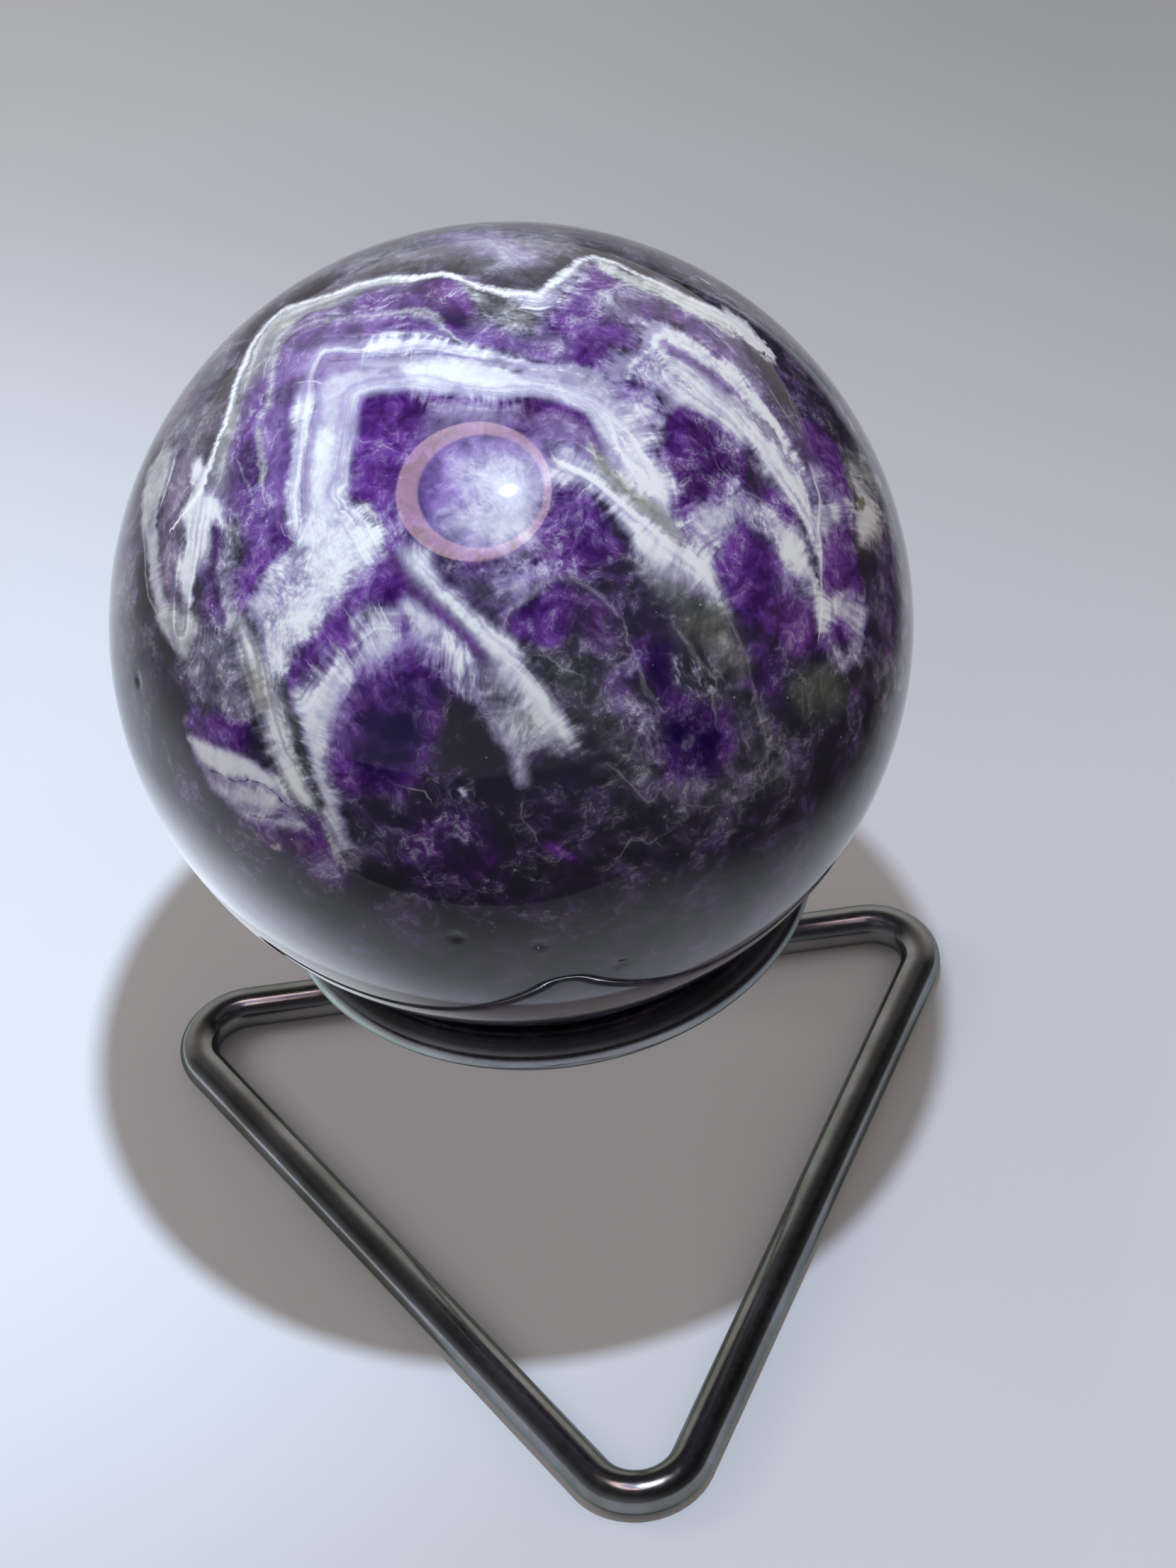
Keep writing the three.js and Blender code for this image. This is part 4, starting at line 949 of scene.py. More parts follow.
def amethyst_material(stone):
    """Amethyst and milky quartz, cut and polished to a mirror: gloss over colours that lie inside the stone."""
    material, tree = new_material("polished_amethyst")
    place = add(tree, "ShaderNodeTexCoord").outputs["Object"]

    first = add(tree, SPLIT, {0: add(tree, ATTRIBUTE, attribute_name="milk_violet_indigo").outputs["Vector"]})
    second = add(tree, SPLIT, {0: add(tree, ATTRIBUTE, attribute_name="green_rose_ochre").outputs["Vector"]})
    third = add(tree, SPLIT, {0: add(tree, ATTRIBUTE, attribute_name="fibre_fleck_depth").outputs["Vector"]})
    milk, violet, indigo = first.outputs
    green, rose, ochre = second.outputs
    fibre, fleck, depth = third.outputs

    # Streaks run out from the growth lines, fine ones 0.5 mm wide and coarse ones 2 mm, and five times as long.
    grain = add(tree, ATTRIBUTE, attribute_name="grain").outputs["Vector"]
    slow = add(tree, VECTOR_MATH, {0: place, "Scale": 0.2}, operation="SCALE").outputs[0]
    streak_place = add(tree, VECTOR_MATH, {0: grain, 1: slow}, operation="ADD").outputs[0]
    streak = add(tree, NOISE, {"Vector": streak_place, "Scale": 1 / (0.5 * MM), "Detail": 4.0, "Roughness": 0.6})
    plume = add(tree, NOISE, {"Vector": streak_place, "Scale": 1 / (2.0 * MM), "Detail": 3.0, "Roughness": 0.6})
    drift = add(tree, NOISE, {"Vector": place, "Scale": 1 / (2.8 * MM), "Detail": 2.0, "Roughness": 0.5})
    drift = add(tree, VECTOR_MATH, {0: drift.outputs["Color"], "Scale": 2.6 * MM}, operation="SCALE").outputs[0]
    swirl_place = add(tree, VECTOR_MATH, {0: place, 1: drift}, operation="ADD").outputs[0]
    fuzz = add(tree, NOISE, {"Vector": swirl_place, "Scale": 1 / (0.9 * MM), "Detail": 6.0, "Roughness": 0.62})
    mottle = add(tree, NOISE, {"Vector": swirl_place, "Scale": 1 / (3.4 * MM), "Detail": 6.0, "Roughness": 0.6})
    streak_off = add(tree, MATH, {0: streak.outputs[0], 1: 0.5}, operation="SUBTRACT").outputs[0]
    plume_off = add(tree, MATH, {0: plume.outputs[0], 1: 0.5}, operation="SUBTRACT").outputs[0]
    fuzz_off = add(tree, MATH, {0: fuzz.outputs[0], 1: 0.5}, operation="SUBTRACT").outputs[0]
    mottle_off = add(tree, MATH, {0: mottle.outputs[0], 1: 0.5}, operation="SUBTRACT").outputs[0]

    # Growth layers: bands 0.4 to 1.3 mm wide that follow the growth lines and fade away from them
    layer_depth = add(tree, MATH, {0: fuzz_off, 1: 0.45, 2: depth}, operation="MULTIPLY_ADD").outputs[0]
    layer_depth = add(tree, MATH, {0: streak_off, 1: 0.25, 2: layer_depth}, operation="MULTIPLY_ADD").outputs[0]
    layer_place = add(tree, "ShaderNodeCombineXYZ", {0: layer_depth}).outputs[0]
    layer_drift = add(tree, VECTOR_MATH, {0: place, "Scale": 1 / (14 * MM)}, operation="SCALE").outputs[0]
    layer_place = add(tree, VECTOR_MATH, {0: layer_place, 1: layer_drift}, operation="ADD").outputs[0]
    layer = add(tree, NOISE, {"Vector": layer_place, "Scale": 1.5, "Detail": 2.0, "Roughness": 0.55})
    layer_off = add(tree, MATH, {0: layer.outputs[0], 1: 0.5}, operation="SUBTRACT").outputs[0]
    layer_fade = add(
        tree, RANGE, {"Value": depth, "From Min": 0.9, "From Max": 2.2, "To Min": 1.0, "To Max": 0.0},
        interpolation_type="SMOOTHSTEP",
    ).outputs[0]
    layer_off = add(tree, MATH, {0: layer_off, 1: layer_fade}, operation="MULTIPLY").outputs[0]

    # Milk: the level, feathered by streaks at the edges and clouded elsewhere, and calm where there is little fibre
    lively = add(tree, MATH, {0: fibre, 1: 2.0, 2: 0.2}, operation="MULTIPLY_ADD", use_clamp=True).outputs[0]
    streak_push = add(tree, MATH, {0: streak_off, 1: 1.1}, operation="MULTIPLY").outputs[0]
    streak_push = add(tree, MATH, {0: plume_off, 1: 1.8, 2: streak_push}, operation="MULTIPLY_ADD").outputs[0]
    streak_push = add(tree, MATH, {0: streak_push, 1: fibre}, operation="MULTIPLY").outputs[0]
    cloud_push = add(tree, MATH, {0: fuzz_off, 1: 0.7}, operation="MULTIPLY").outputs[0]
    cloud_push = add(tree, MATH, {0: mottle_off, 1: 1.0, 2: cloud_push}, operation="MULTIPLY_ADD").outputs[0]
    push = add(tree, MATH, {0: cloud_push, 1: lively, 2: streak_push}, operation="MULTIPLY_ADD").outputs[0]
    push = add(tree, MATH, {0: layer_off, 1: 0.6, 2: push}, operation="MULTIPLY_ADD").outputs[0]
    less = add(tree, MATH, {0: 1.0, 1: milk}, operation="SUBTRACT").outputs[0]
    partly = add(tree, MATH, {0: less, 1: milk}, operation="MULTIPLY").outputs[0]
    window = add(tree, MATH, {0: partly, 1: 2.6, 2: 0.2}, operation="MULTIPLY_ADD").outputs[0]
    uneven = add(tree, MATH, {0: push, 1: window, 2: milk}, operation="MULTIPLY_ADD").outputs[0]
    crisp = add(tree, MATH, {0: fibre, 1: 0.5, 2: 1.0}, operation="MULTIPLY_ADD").outputs[0]
    crisp_milk = add(tree, MATH, {0: uneven, 1: 0.5}, operation="SUBTRACT").outputs[0]
    crisp_milk = add(tree, MATH, {0: crisp_milk, 1: crisp, 2: 0.5}, operation="MULTIPLY_ADD").outputs[0]
    milky = add(
        tree, RANGE, {"Value": crisp_milk, "From Min": 0.0, "From Max": 1.0}, interpolation_type="SMOOTHSTEP"
    ).outputs[0]

    # Small white flaws: lacy veils where a slow noise crosses its middle, and single bright points
    lace = None
    for size, thin, gain in ((3.0, 0.03, 0.95), (1.3, 0.04, 0.85)):
        veil = add(
            tree, NOISE, {"Vector": swirl_place, "Scale": 1 / (size * MM), "Detail": 5.0, "Roughness": 0.6, "Distortion": 0.5}
        )
        veil_off = add(tree, MATH, {0: veil.outputs[0], 1: 0.5}, operation="SUBTRACT").outputs[0]
        veil_near = add(tree, MATH, {0: veil_off}, operation="ABSOLUTE").outputs[0]
        veil = add(
            tree, RANGE, {"Value": veil_near, "From Min": 0.0, "From Max": thin, "To Min": gain, "To Max": 0.0},
            interpolation_type="SMOOTHSTEP",
        ).outputs[0]
        lace = veil if lace is None else add(tree, MATH, {0: lace, 1: veil}, operation="MAXIMUM").outputs[0]
    some = add(
        tree, RANGE, {"Value": mottle.outputs[0], "From Min": 0.44, "From Max": 0.62}, interpolation_type="SMOOTHSTEP"
    ).outputs[0]
    grit = add(
        tree, RANGE, {"Value": fuzz.outputs[0], "From Min": 0.4, "From Max": 0.66}, interpolation_type="SMOOTHSTEP"
    ).outputs[0]
    lace = add(tree, MATH, {0: lace, 1: grit}, operation="MULTIPLY").outputs[0]
    lace = add(tree, MATH, {0: grit, 1: 0.16, 2: lace}, operation="MULTIPLY_ADD").outputs[0]
    lace = add(tree, MATH, {0: lace, 1: some}, operation="MULTIPLY").outputs[0]
    point = add(tree, VORONOI, {"Vector": place, "Scale": 1 / (0.75 * MM)})
    point_size = add(tree, SPLIT, {0: point.outputs["Color"]}).outputs[0]
    point_size = add(tree, RANGE, {"Value": point_size, "From Min": 0.8, "From Max": 1.0, "To Min": 0.0, "To Max": 0.17}).outputs[0]
    point_off = add(tree, MATH, {0: point_size, 1: point.outputs["Distance"]}, operation="SUBTRACT").outputs[0]
    points = add(tree, RANGE, {"Value": point_off, "From Min": 0.0, "From Max": 0.06}).outputs[0]
    flaws = add(tree, MATH, {0: points, 1: 0.8, 2: lace}, operation="MULTIPLY_ADD").outputs[0]
    flaws = add(tree, MATH, {0: flaws, 1: fleck}, operation="MULTIPLY", use_clamp=True).outputs[0]

    # Crystals grown side by side: each about 1.2 mm wide and a little lighter or darker than the next
    crystal = add(tree, VORONOI, {"Vector": swirl_place, "Scale": 1 / (1.2 * MM)}, feature="SMOOTH_F1")
    crystal_off = add(tree, SPLIT, {0: crystal.outputs["Color"]}).outputs[0]
    crystal_off = add(tree, MATH, {0: crystal_off, 1: 0.5}, operation="SUBTRACT").outputs[0]

    # Clear quartz, smoky in places, then amethyst in it
    green_push = add(tree, MATH, {0: mottle_off, 1: 1.5, 2: green}, operation="MULTIPLY_ADD").outputs[0]
    green_push = add(tree, MATH, {0: crystal_off, 1: 0.25, 2: green_push}, operation="MULTIPLY_ADD").outputs[0]
    green_share = add(
        tree, RANGE, {"Value": green_push, "From Min": 0.1, "From Max": 1.1}, interpolation_type="SMOOTHSTEP"
    ).outputs[0]
    body = add(tree, MIX, {0: green_share, MIX_A: stone.clear_dark, MIX_B: stone.grey_green}, data_type="RGBA").outputs[2]
    shade_push = add(tree, MATH, {0: fuzz_off, 1: 0.5, 2: mottle.outputs[0]}, operation="MULTIPLY_ADD").outputs[0]
    shade_push = add(tree, MATH, {0: crystal_off, 1: 0.14, 2: shade_push}, operation="MULTIPLY_ADD").outputs[0]
    shade = add(
        tree, RANGE, {"Value": shade_push, "From Min": 0.26, "From Max": 0.72}, interpolation_type="SMOOTHSTEP"
    ).outputs[0]
    violets = add(tree, MIX, {0: shade, MIX_A: stone.violet_dark, MIX_B: stone.violet}, data_type="RGBA").outputs[2]
    violets = add(tree, MIX, {0: rose, MIX_A: violets, MIX_B: stone.rose}, data_type="RGBA").outputs[2]
    indigo_share = add(tree, MATH, {0: shade, 1: -0.25, 2: indigo}, operation="MULTIPLY_ADD", use_clamp=True).outputs[0]
    violets = add(tree, MIX, {0: indigo_share, MIX_A: violets, MIX_B: stone.indigo}, data_type="RGBA").outputs[2]
    violet_push = add(tree, MATH, {0: fuzz_off, 1: 0.35, 2: violet}, operation="MULTIPLY_ADD").outputs[0]
    violet_push = add(tree, MATH, {0: mottle_off, 1: 0.6, 2: violet_push}, operation="MULTIPLY_ADD").outputs[0]
    violet_push = add(tree, MATH, {0: crystal_off, 1: 0.2, 2: violet_push}, operation="MULTIPLY_ADD").outputs[0]
    violet_share = add(
        tree, RANGE, {"Value": violet_push, "From Min": 0.08, "From Max": 0.8}, interpolation_type="SMOOTHSTEP"
    ).outputs[0]
    body = add(tree, MIX, {0: violet_share, MIX_A: body, MIX_B: violets}, data_type="RGBA").outputs[2]

    # Milky quartz: lilac where thin, white where thick, cream beside grey-green quartz
    thick = add(tree, MATH, {0: layer_off, 1: 2.2, 2: uneven}, operation="MULTIPLY_ADD").outputs[0]
    thick = add(tree, MATH, {0: streak_push, 1: 0.8, 2: thick}, operation="MULTIPLY_ADD").outputs[0]
    thick = add(tree, MATH, {0: cloud_push, 1: 0.4, 2: thick}, operation="MULTIPLY_ADD").outputs[0]
    whites = add(
        tree, RANGE, {"Value": thick, "From Min": 0.42, "From Max": 1.15}, interpolation_type="SMOOTHSTEP"
    ).outputs[0]
    thin_milk = add(tree, MIX, {0: green_share, MIX_A: stone.lilac, MIX_B: stone.cream}, data_type="RGBA").outputs[2]
    milks = add(tree, MIX, {0: whites, MIX_A: thin_milk, MIX_B: stone.white}, data_type="RGBA").outputs[2]
    body = add(tree, MIX, {0: milky, MIX_A: body, MIX_B: milks}, data_type="RGBA").outputs[2]
    flaw_tint = add(tree, MIX, {0: 0.5, MIX_A: thin_milk, MIX_B: stone.white}, data_type="RGBA").outputs[2]
    body = add(tree, MIX, {0: flaws, MIX_A: body, MIX_B: flaw_tint}, data_type="RGBA").outputs[2]

    # The traced lines, each brighter and fainter along its run
    run = add(
        tree, RANGE, {"Value": mottle.outputs[0], "From Min": 0.36, "From Max": 0.58, "To Min": 0.8, "To Max": 1.0}
    ).outputs[0]
    broken = add(tree, RANGE, {"Value": fuzz.outputs[0], "From Min": 0.4, "From Max": 0.6, "To Min": 0.3, "To Max": 1.0})
    broken = broken.outputs[0]
    for name, tint, wide in (("dark_line", stone.violet_dark, 0.9), ("pale_line", stone.white, 1.0), ("white_line", stone.line_white, 1.2)):
        line = add(tree, SPLIT, {0: add(tree, ATTRIBUTE, attribute_name=name).outputs["Vector"]})
        across, distance, strength = line.outputs
        near_line = add(tree, MATH, {0: across}, operation="ABSOLUTE").outputs[0]
        rough = add(tree, MATH, {0: fuzz_off, 1: 3.0, 2: near_line}, operation="MULTIPLY_ADD").outputs[0]
        rough = add(tree, MATH, {0: streak_off, 1: 3.5, 2: rough}, operation="MULTIPLY_ADD").outputs[0]
        rough = add(tree, MATH, {0: mottle_off, 1: 2.5, 2: rough}, operation="MULTIPLY_ADD").outputs[0]
        core = add(
            tree, RANGE, {"Value": rough, "From Min": -0.2 * wide, "From Max": 1.7 * wide, "To Min": 1.0, "To Max": 0.0},
            interpolation_type="SMOOTHSTEP",
        ).outputs[0]
        kept = add(
            tree, RANGE, {"Value": distance, "From Min": 0.45, "From Max": 0.75, "To Min": 1.0, "To Max": 0.0}
        ).outputs[0]
        share = add(tree, MATH, {0: core, 1: kept}, operation="MULTIPLY").outputs[0]
        share = add(tree, MATH, {0: share, 1: strength}, operation="MULTIPLY").outputs[0]
        share = add(tree, MATH, {0: share, 1: run}, operation="MULTIPLY").outputs[0]
        if name == "pale_line":
            share = add(tree, MATH, {0: share, 1: broken}, operation="MULTIPLY").outputs[0]
        body = add(tree, MIX, {0: share, MIX_A: body, MIX_B: tint}, data_type="RGBA").outputs[2]
        if name == "white_line":
            milky = add(tree, MATH, {0: milky, 1: share}, operation="MAXIMUM").outputs[0]

    stain = add(tree, MATH, {0: ochre, 1: fuzz.outputs[0]}, operation="MULTIPLY").outputs[0]
    body = add(tree, MIX, {0: stain, MIX_A: body, MIX_B: stone.ochre}, data_type="RGBA").outputs[2]

    # Clear where there is no milk: light goes in there and comes out tinted.
    clear = add(tree, RANGE, {"Value": milky, "From Min": 0.0, "From Max": 0.5, "To Min": 0.3, "To Max": 0.0}).outputs[0]

    # Polish with a few hairline scratches
    hair_place = add(tree, "ShaderNodeMapping", {0: place, 2: (0.4, 0.9, 0.3), 3: (60.0, 1100.0, 420.0)})
    hair = add(tree, NOISE, {"Vector": hair_place.outputs[0], "Scale": 1.0, "Detail": 2.0})
    rough = add(tree, RANGE, {"Value": hair.outputs[0], "From Min": 0.45, "From Max": 0.75, "To Min": 0.03, "To Max": 0.075})
    bump = add(tree, "ShaderNodeBump", {"Height": hair.outputs[0], "Strength": 0.012, "Distance": 0.02 * MM})

    shader = add(
        tree, "ShaderNodeBsdfPrincipled",
        {
            "Base Color": body,
            "Roughness": rough.outputs[0],
            "IOR": 1.545,
            "Transmission Weight": clear,
            "Normal": bump.outputs[0],
        },
    )
    add(tree, "ShaderNodeOutputMaterial", {"Surface": shader.outputs[0]})
    return material


def gunmetal_material(stand):
    """Steel rod plated black nickel, bright as drawn: dark brown-grey, nearly a mirror, with long fine scratches."""
    material, tree = new_material("black_nickel_plated_rod")
    place = add(tree, "ShaderNodeTexCoord").outputs["Object"]
    patch = add(tree, NOISE, {"Vector": place, "Scale": 1 / (9 * MM), "Detail": 4.0, "Roughness": 0.6})
    share = add(tree, RANGE, {"Value": patch.outputs[0], "From Min": 0.4, "From Max": 0.62}).outputs[0]
    body = add(tree, MIX, {0: share, MIX_A: stand.metal, MIX_B: stand.metal_brown}, data_type="RGBA").outputs[2]
    fine = add(tree, NOISE, {"Vector": place, "Scale": 1 / (0.7 * MM), "Detail": 5.0, "Roughness": 0.7})
    rough = add(tree, RANGE, {"Value": fine.outputs[0], "From Min": 0.3, "From Max": 0.75, "To Min": 0.14, "To Max": 0.26})
    bump = add(tree, "ShaderNodeBump", {"Height": fine.outputs[0], "Strength": 0.05, "Distance": 0.03 * MM})
    shader = add(
        tree, "ShaderNodeBsdfPrincipled",
        {
            "Base Color": body,
            "Metallic": 1.0,
            "Roughness": rough.outputs[0],
            "Specular Tint": stand.edge_tint,
            "Normal": bump.outputs[0],
        },
    )
    add(tree, "ShaderNodeOutputMaterial", {"Surface": shader.outputs[0]})
    return material


# ---- Pieces ----


def start_piece():
    if bpy.context.object and bpy.context.object.mode != "OBJECT":
        bpy.ops.object.mode_set(mode="OBJECT")
    bpy.ops.object.select_all(action="DESELECT")


def finish_piece(piece, name, node, material, smooth_angle):
    """Puts the piece's place into its mesh, cleans the mesh, and ties it to the frame."""
    if bpy.context.object.mode != "OBJECT":
        bpy.ops.object.mode_set(mode="OBJECT")
    bpy.ops.object.transform_apply(location=True, rotation=True, scale=True)
    bpy.ops.object.mode_set(mode="EDIT")
    bpy.ops.mesh.select_all(action="SELECT")
    bpy.ops.mesh.remove_doubles(threshold=0.002 * MM)
    bpy.ops.mesh.normals_make_consistent(inside=False)
    bpy.ops.object.mode_set(mode="OBJECT")
    bpy.ops.object.shade_smooth_by_angle(angle=smooth_angle)
    piece.name = name
    piece.data.name = name
    piece.data.materials.clear()
    piece.data.materials.append(material)
    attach(piece, "root")
    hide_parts(node)


NICKS = ((194, 962), (648, 1322), (760, 1335), (872, 1362), (1035, 1180))  # pixels of small chips in the polish


class AMETHYST_OT_add_ball(bpy.types.Operator):
    """Adds the polished ball and its markings"""

    bl_idname = "amethyst.add_ball"
    bl_label = "Add Ball"

    def execute(self, context):
        stone = context.scene.amethyst_stone
        start_piece()
        bpy.ops.mesh.primitive_ico_sphere_add(subdivisions=6, radius=stone.radius, location=BALL_CENTRE)
        ball = bpy.context.object
        bpy.ops.object.mode_set(mode="EDIT")
        bpy.ops.mesh.select_all(action="SELECT")
        bpy.ops.mesh.subdivide(number_cuts=2)
        bpy.ops.object.mode_set(mode="OBJECT")
        cast = ball.modifiers.new("true ball", "CAST")
        cast.cast_type = "SPHERE"
        cast.factor = 1.0
        cast.use_radius_as_size = False
        cast.size = stone.radius
        bpy.ops.object.modifier_apply(modifier=cast.name)
        swell = bpy.data.textures.new("hand_polish", "CLOUDS")
        swell.noise_scale = 16 * MM
        polish = ball.modifiers.new("hand polish", "DISPLACE")
        polish.texture = swell
        polish.strength = stone.hand_polish
        polish.mid_level = 1.0
        bpy.ops.object.modifier_apply(modifier=polish.name)
        bpy.ops.object.transform_apply(location=True, rotation=True, scale=True)
        for place in on_ball(np.array(NICKS, float)):
            bpy.ops.object.mode_set(mode="EDIT")
            bpy.ops.mesh.select_all(action="DESELECT")
            bpy.ops.object.mode_set(mode="OBJECT")
            at = Vector(place)
            closest = min(ball.data.vertices, key=lambda vertex: (vertex.co - at).length)
            closest.select = True
            bpy.ops.object.mode_set(mode="EDIT")
            bpy.ops.transform.translate(
                value=(BALL_CENTRE - at).normalized() * 0.12 * MM,
                use_proportional_edit=True,
                proportional_edit_falloff="SPHERE",
                proportional_size=0.55 * MM,
            )
            bpy.ops.object.mode_set(mode="OBJECT")
        finish_piece(ball, "amethyst_ball", "amethyst_sphere", amethyst_material(stone), math.pi)
        paint_ball(ball.data)
        return {"FINISHED"}


def add_rod_profile(stand, place, facing):
    """A circle of rod at a place, with its axis along facing, left in edit mode and selected."""
    start_piece()
    bpy.ops.mesh.primitive_circle_add(
        vertices=stand.rod_sides,
        radius=stand.rod_radius,
        fill_type="NOTHING",
        location=place,
        rotation=facing.to_track_quat("Z", "Y").to_euler(),
    )
    made = bpy.context.object
    bpy.ops.object.transform_apply(location=True, rotation=True, scale=True)
    bpy.ops.object.mode_set(mode="EDIT")
    bpy.ops.mesh.select_all(action="SELECT")
    return made


class AMETHYST_OT_add_ring(bpy.types.Operator):
    """Adds the ring of rod that carries the ball"""

    bl_idname = "amethyst.add_ring"
    bl_label = "Add Ring"

    def execute(self, context):
        stand = context.scene.amethyst_stand
        centre = AXIS + Vector((0, 0, stand.ring_height))
        ring = add_rod_profile(stand, centre + Vector((0, stand.ring_radius, 0)), Vector((1, 0, 0)))
        bpy.ops.mesh.spin(steps=128, angle=2 * math.pi, center=centre, axis=(0, 0, 1))
        finish_piece(ring, "ring_rod", "stand_ring", stand_material(stand), math.pi)
        return {"FINISHED"}


class AMETHYST_OT_add_upright(bpy.types.Operator):
    """Adds the upright between the ring's rear and the base's rear side, with braze at both ends"""

    bl_idname = "amethyst.add_upright"
    bl_label = "Add Upright"

    def execute(self, context):
        stand = context.scene.amethyst_stand
        rear = (BASE_CORNERS[1] + BASE_CORNERS[2]) / 2
        share = -BASE_CORNERS[2].x / (BASE_CORNERS[1].x - BASE_CORNERS[2].x)
        rear = BASE_CORNERS[2].lerp(BASE_CORNERS[1], share)
        foot = AXIS + rear + Vector((0, 0, stand.rod_radius))
        head = AXIS + Vector((0, stand.ring_radius, stand.ring_height))
        way = (head - foot).normalized()
        upright = add_rod_profile(stand, foot, way)
        run = (head - foot).length
        last = 1.0
        flare = 1 + stand.braze / stand.rod_radius
        # Heights along the rod, in rod radii from an end, and the share of the flare there
        steps = ((0.0, 0.0), (0.75, 1.0), (1.0, 0.72), (1.25, 0.36), (1.5, 0.12), (1.85, 0.0))
        stations = [(h * stand.rod_radius, 1 + (flare - 1) * f) for h, f in steps]
        stations += [(run - h, size) for h, size in stations[::-1]]
        at = 0.0
        for height, size in stations[1:]:
            bpy.ops.mesh.extrude_region_move(TRANSFORM_OT_translate={"value": way * (height - at)})
            bpy.ops.transform.resize(value=(size / last,) * 3, center_override=foot + way * height)
            at, last = height, size
        bpy.ops.mesh.select_all(action="SELECT")
        bpy.ops.mesh.fill_holes(sides=0)
        finish_piece(upright, "upright_rod", "stand_upright", stand_material(stand), math.radians(40))
        return {"FINISHED"}


class AMETHYST_OT_add_base(bpy.types.Operator):
    """Adds the triangular base, one rod bent three times"""

    bl_idname = "amethyst.add_base"
    bl_label = "Add Base"

    def execute(self, context):
        stand = context.scene.amethyst_stand
        lift = Vector((0, 0, stand.rod_radius))
        corners = [AXIS + corner + lift for corner in BASE_CORNERS]
        bends = []
        for index, corner in enumerate(corners):
            before = (corners[index - 1] - corner).normalized()
            after = (corners[(index + 1) % 3] - corner).normalized()
            half = before.angle(after) / 2
            inward = (before + after).normalized()
            bends.append(
                {
                    "start": corner + before * (stand.bend_radius / math.tan(half)),
                    "end": corner + after * (stand.bend_radius / math.tan(half)),
                    "centre": corner + inward * (stand.bend_radius / math.sin(half)),
                    "turn": math.pi - 2 * half,
                }
            )
        first = bends[0]["end"]
        base = add_rod_profile(stand, first, (bends[1]["start"] - first).normalized())
        at = first
        for bend in (bends[1], bends[2], bends[0]):
            bpy.ops.mesh.extrude_region_move(TRANSFORM_OT_translate={"value": bend["start"] - at})
            bpy.ops.mesh.spin(steps=16, angle=-bend["turn"], center=bend["centre"], axis=(0, 0, 1))
            at = bend["end"]
        finish_piece(base, "base_rod", "stand_base", stand_material(stand), math.pi)
        return {"FINISHED"}


def stand_material(stand):
    """The one plating that every rod shares."""
    return bpy.data.materials.get("black_nickel_plated_rod") or gunmetal_material(stand)


# ---- Stage ----

LAMP = Vector((17, -63, 300)) * MM  # from the ball's axis
LAMP_DIAMETER = 10 * MM
BEAM_AIM = Vector((-75, 45, 0)) * MM  # the lamp shines strongest there
FACE_RADIUS = 88 * MM
FACE_FROM_LAMP = Vector((-39, 0, 4)) * MM
RIM_INNER_RADIUS = 70 * MM
RIM_INNER_SHIFT = 9 * MM  # the rim is widest at the left
# The painted reflections: the paper's near edge and where its right side falls into the dark, from the ball's axis
PAPER_FRONT_EDGE = 94 * MM
PAPER_FRONT_TURN = math.radians(-9)
PAPER_FRONT_FADE = 44 * MM
PAPER_RIGHT_EDGE = 47 * MM
PAPER_RIGHT_TURN = math.radians(-20)
PAPER_RIGHT_FADE = 40 * MM
# Where the painted reflection of bright paper lies, and how far it reaches
PAINTED_BRIGHT_PLACE = Vector((-50, 8, 0.5)) * MM
PAINTED_BRIGHT_RADIUS = 52 * MM


def paper_material(stage):
    """Uncoated white paper: matt, with the faintest clouding, and painted light and shade behind the ball."""
    material, tree = new_material("white_paper")
    place = add(tree, "ShaderNodeTexCoord").outputs["Object"]
    cloud = add(tree, NOISE, {"Vector": place, "Scale": 1 / (35 * MM), "Detail": 3.0})
    dim = [part * 0.96 for part in stage.paper[:3]] + [1.0]
    body = add(tree, MIX, {0: cloud.outputs[0], MIX_A: dim, MIX_B: stage.paper}, data_type="RGBA").outputs[2]
    # Painted light and shade: behind the ball the paper is made brighter at the left and darker at the right.
    aside, behind, _ = add(tree, SPLIT, {0: place}).outputs
    behind = add(tree, RANGE, {"Value": behind, "From Min": 40 * MM, "From Max": 170 * MM}).outputs[0]
    painted_light_scale = add(
        tree, RANGE, {"Value": aside, "From Min": -50 * MM, "From Max": 75 * MM, "To Min": 0.2, "To Max": -0.16}
    ).outputs[0]
    painted_light_scale = add(tree, MATH, {0: painted_light_scale, 1: behind, 2: 1.0}, operation="MULTIPLY_ADD").outputs[0]
    body = add(tree, VECTOR_MATH, {0: body, "Scale": painted_light_scale}, operation="SCALE").outputs[0]
    shader = add(tree, "ShaderNodeBsdfPrincipled", {"Base Color": body, "Roughness": 0.7, "Specular IOR Level": 0.2})
    add(tree, "ShaderNodeOutputMaterial", {"Surface": shader.outputs[0]})
    return material


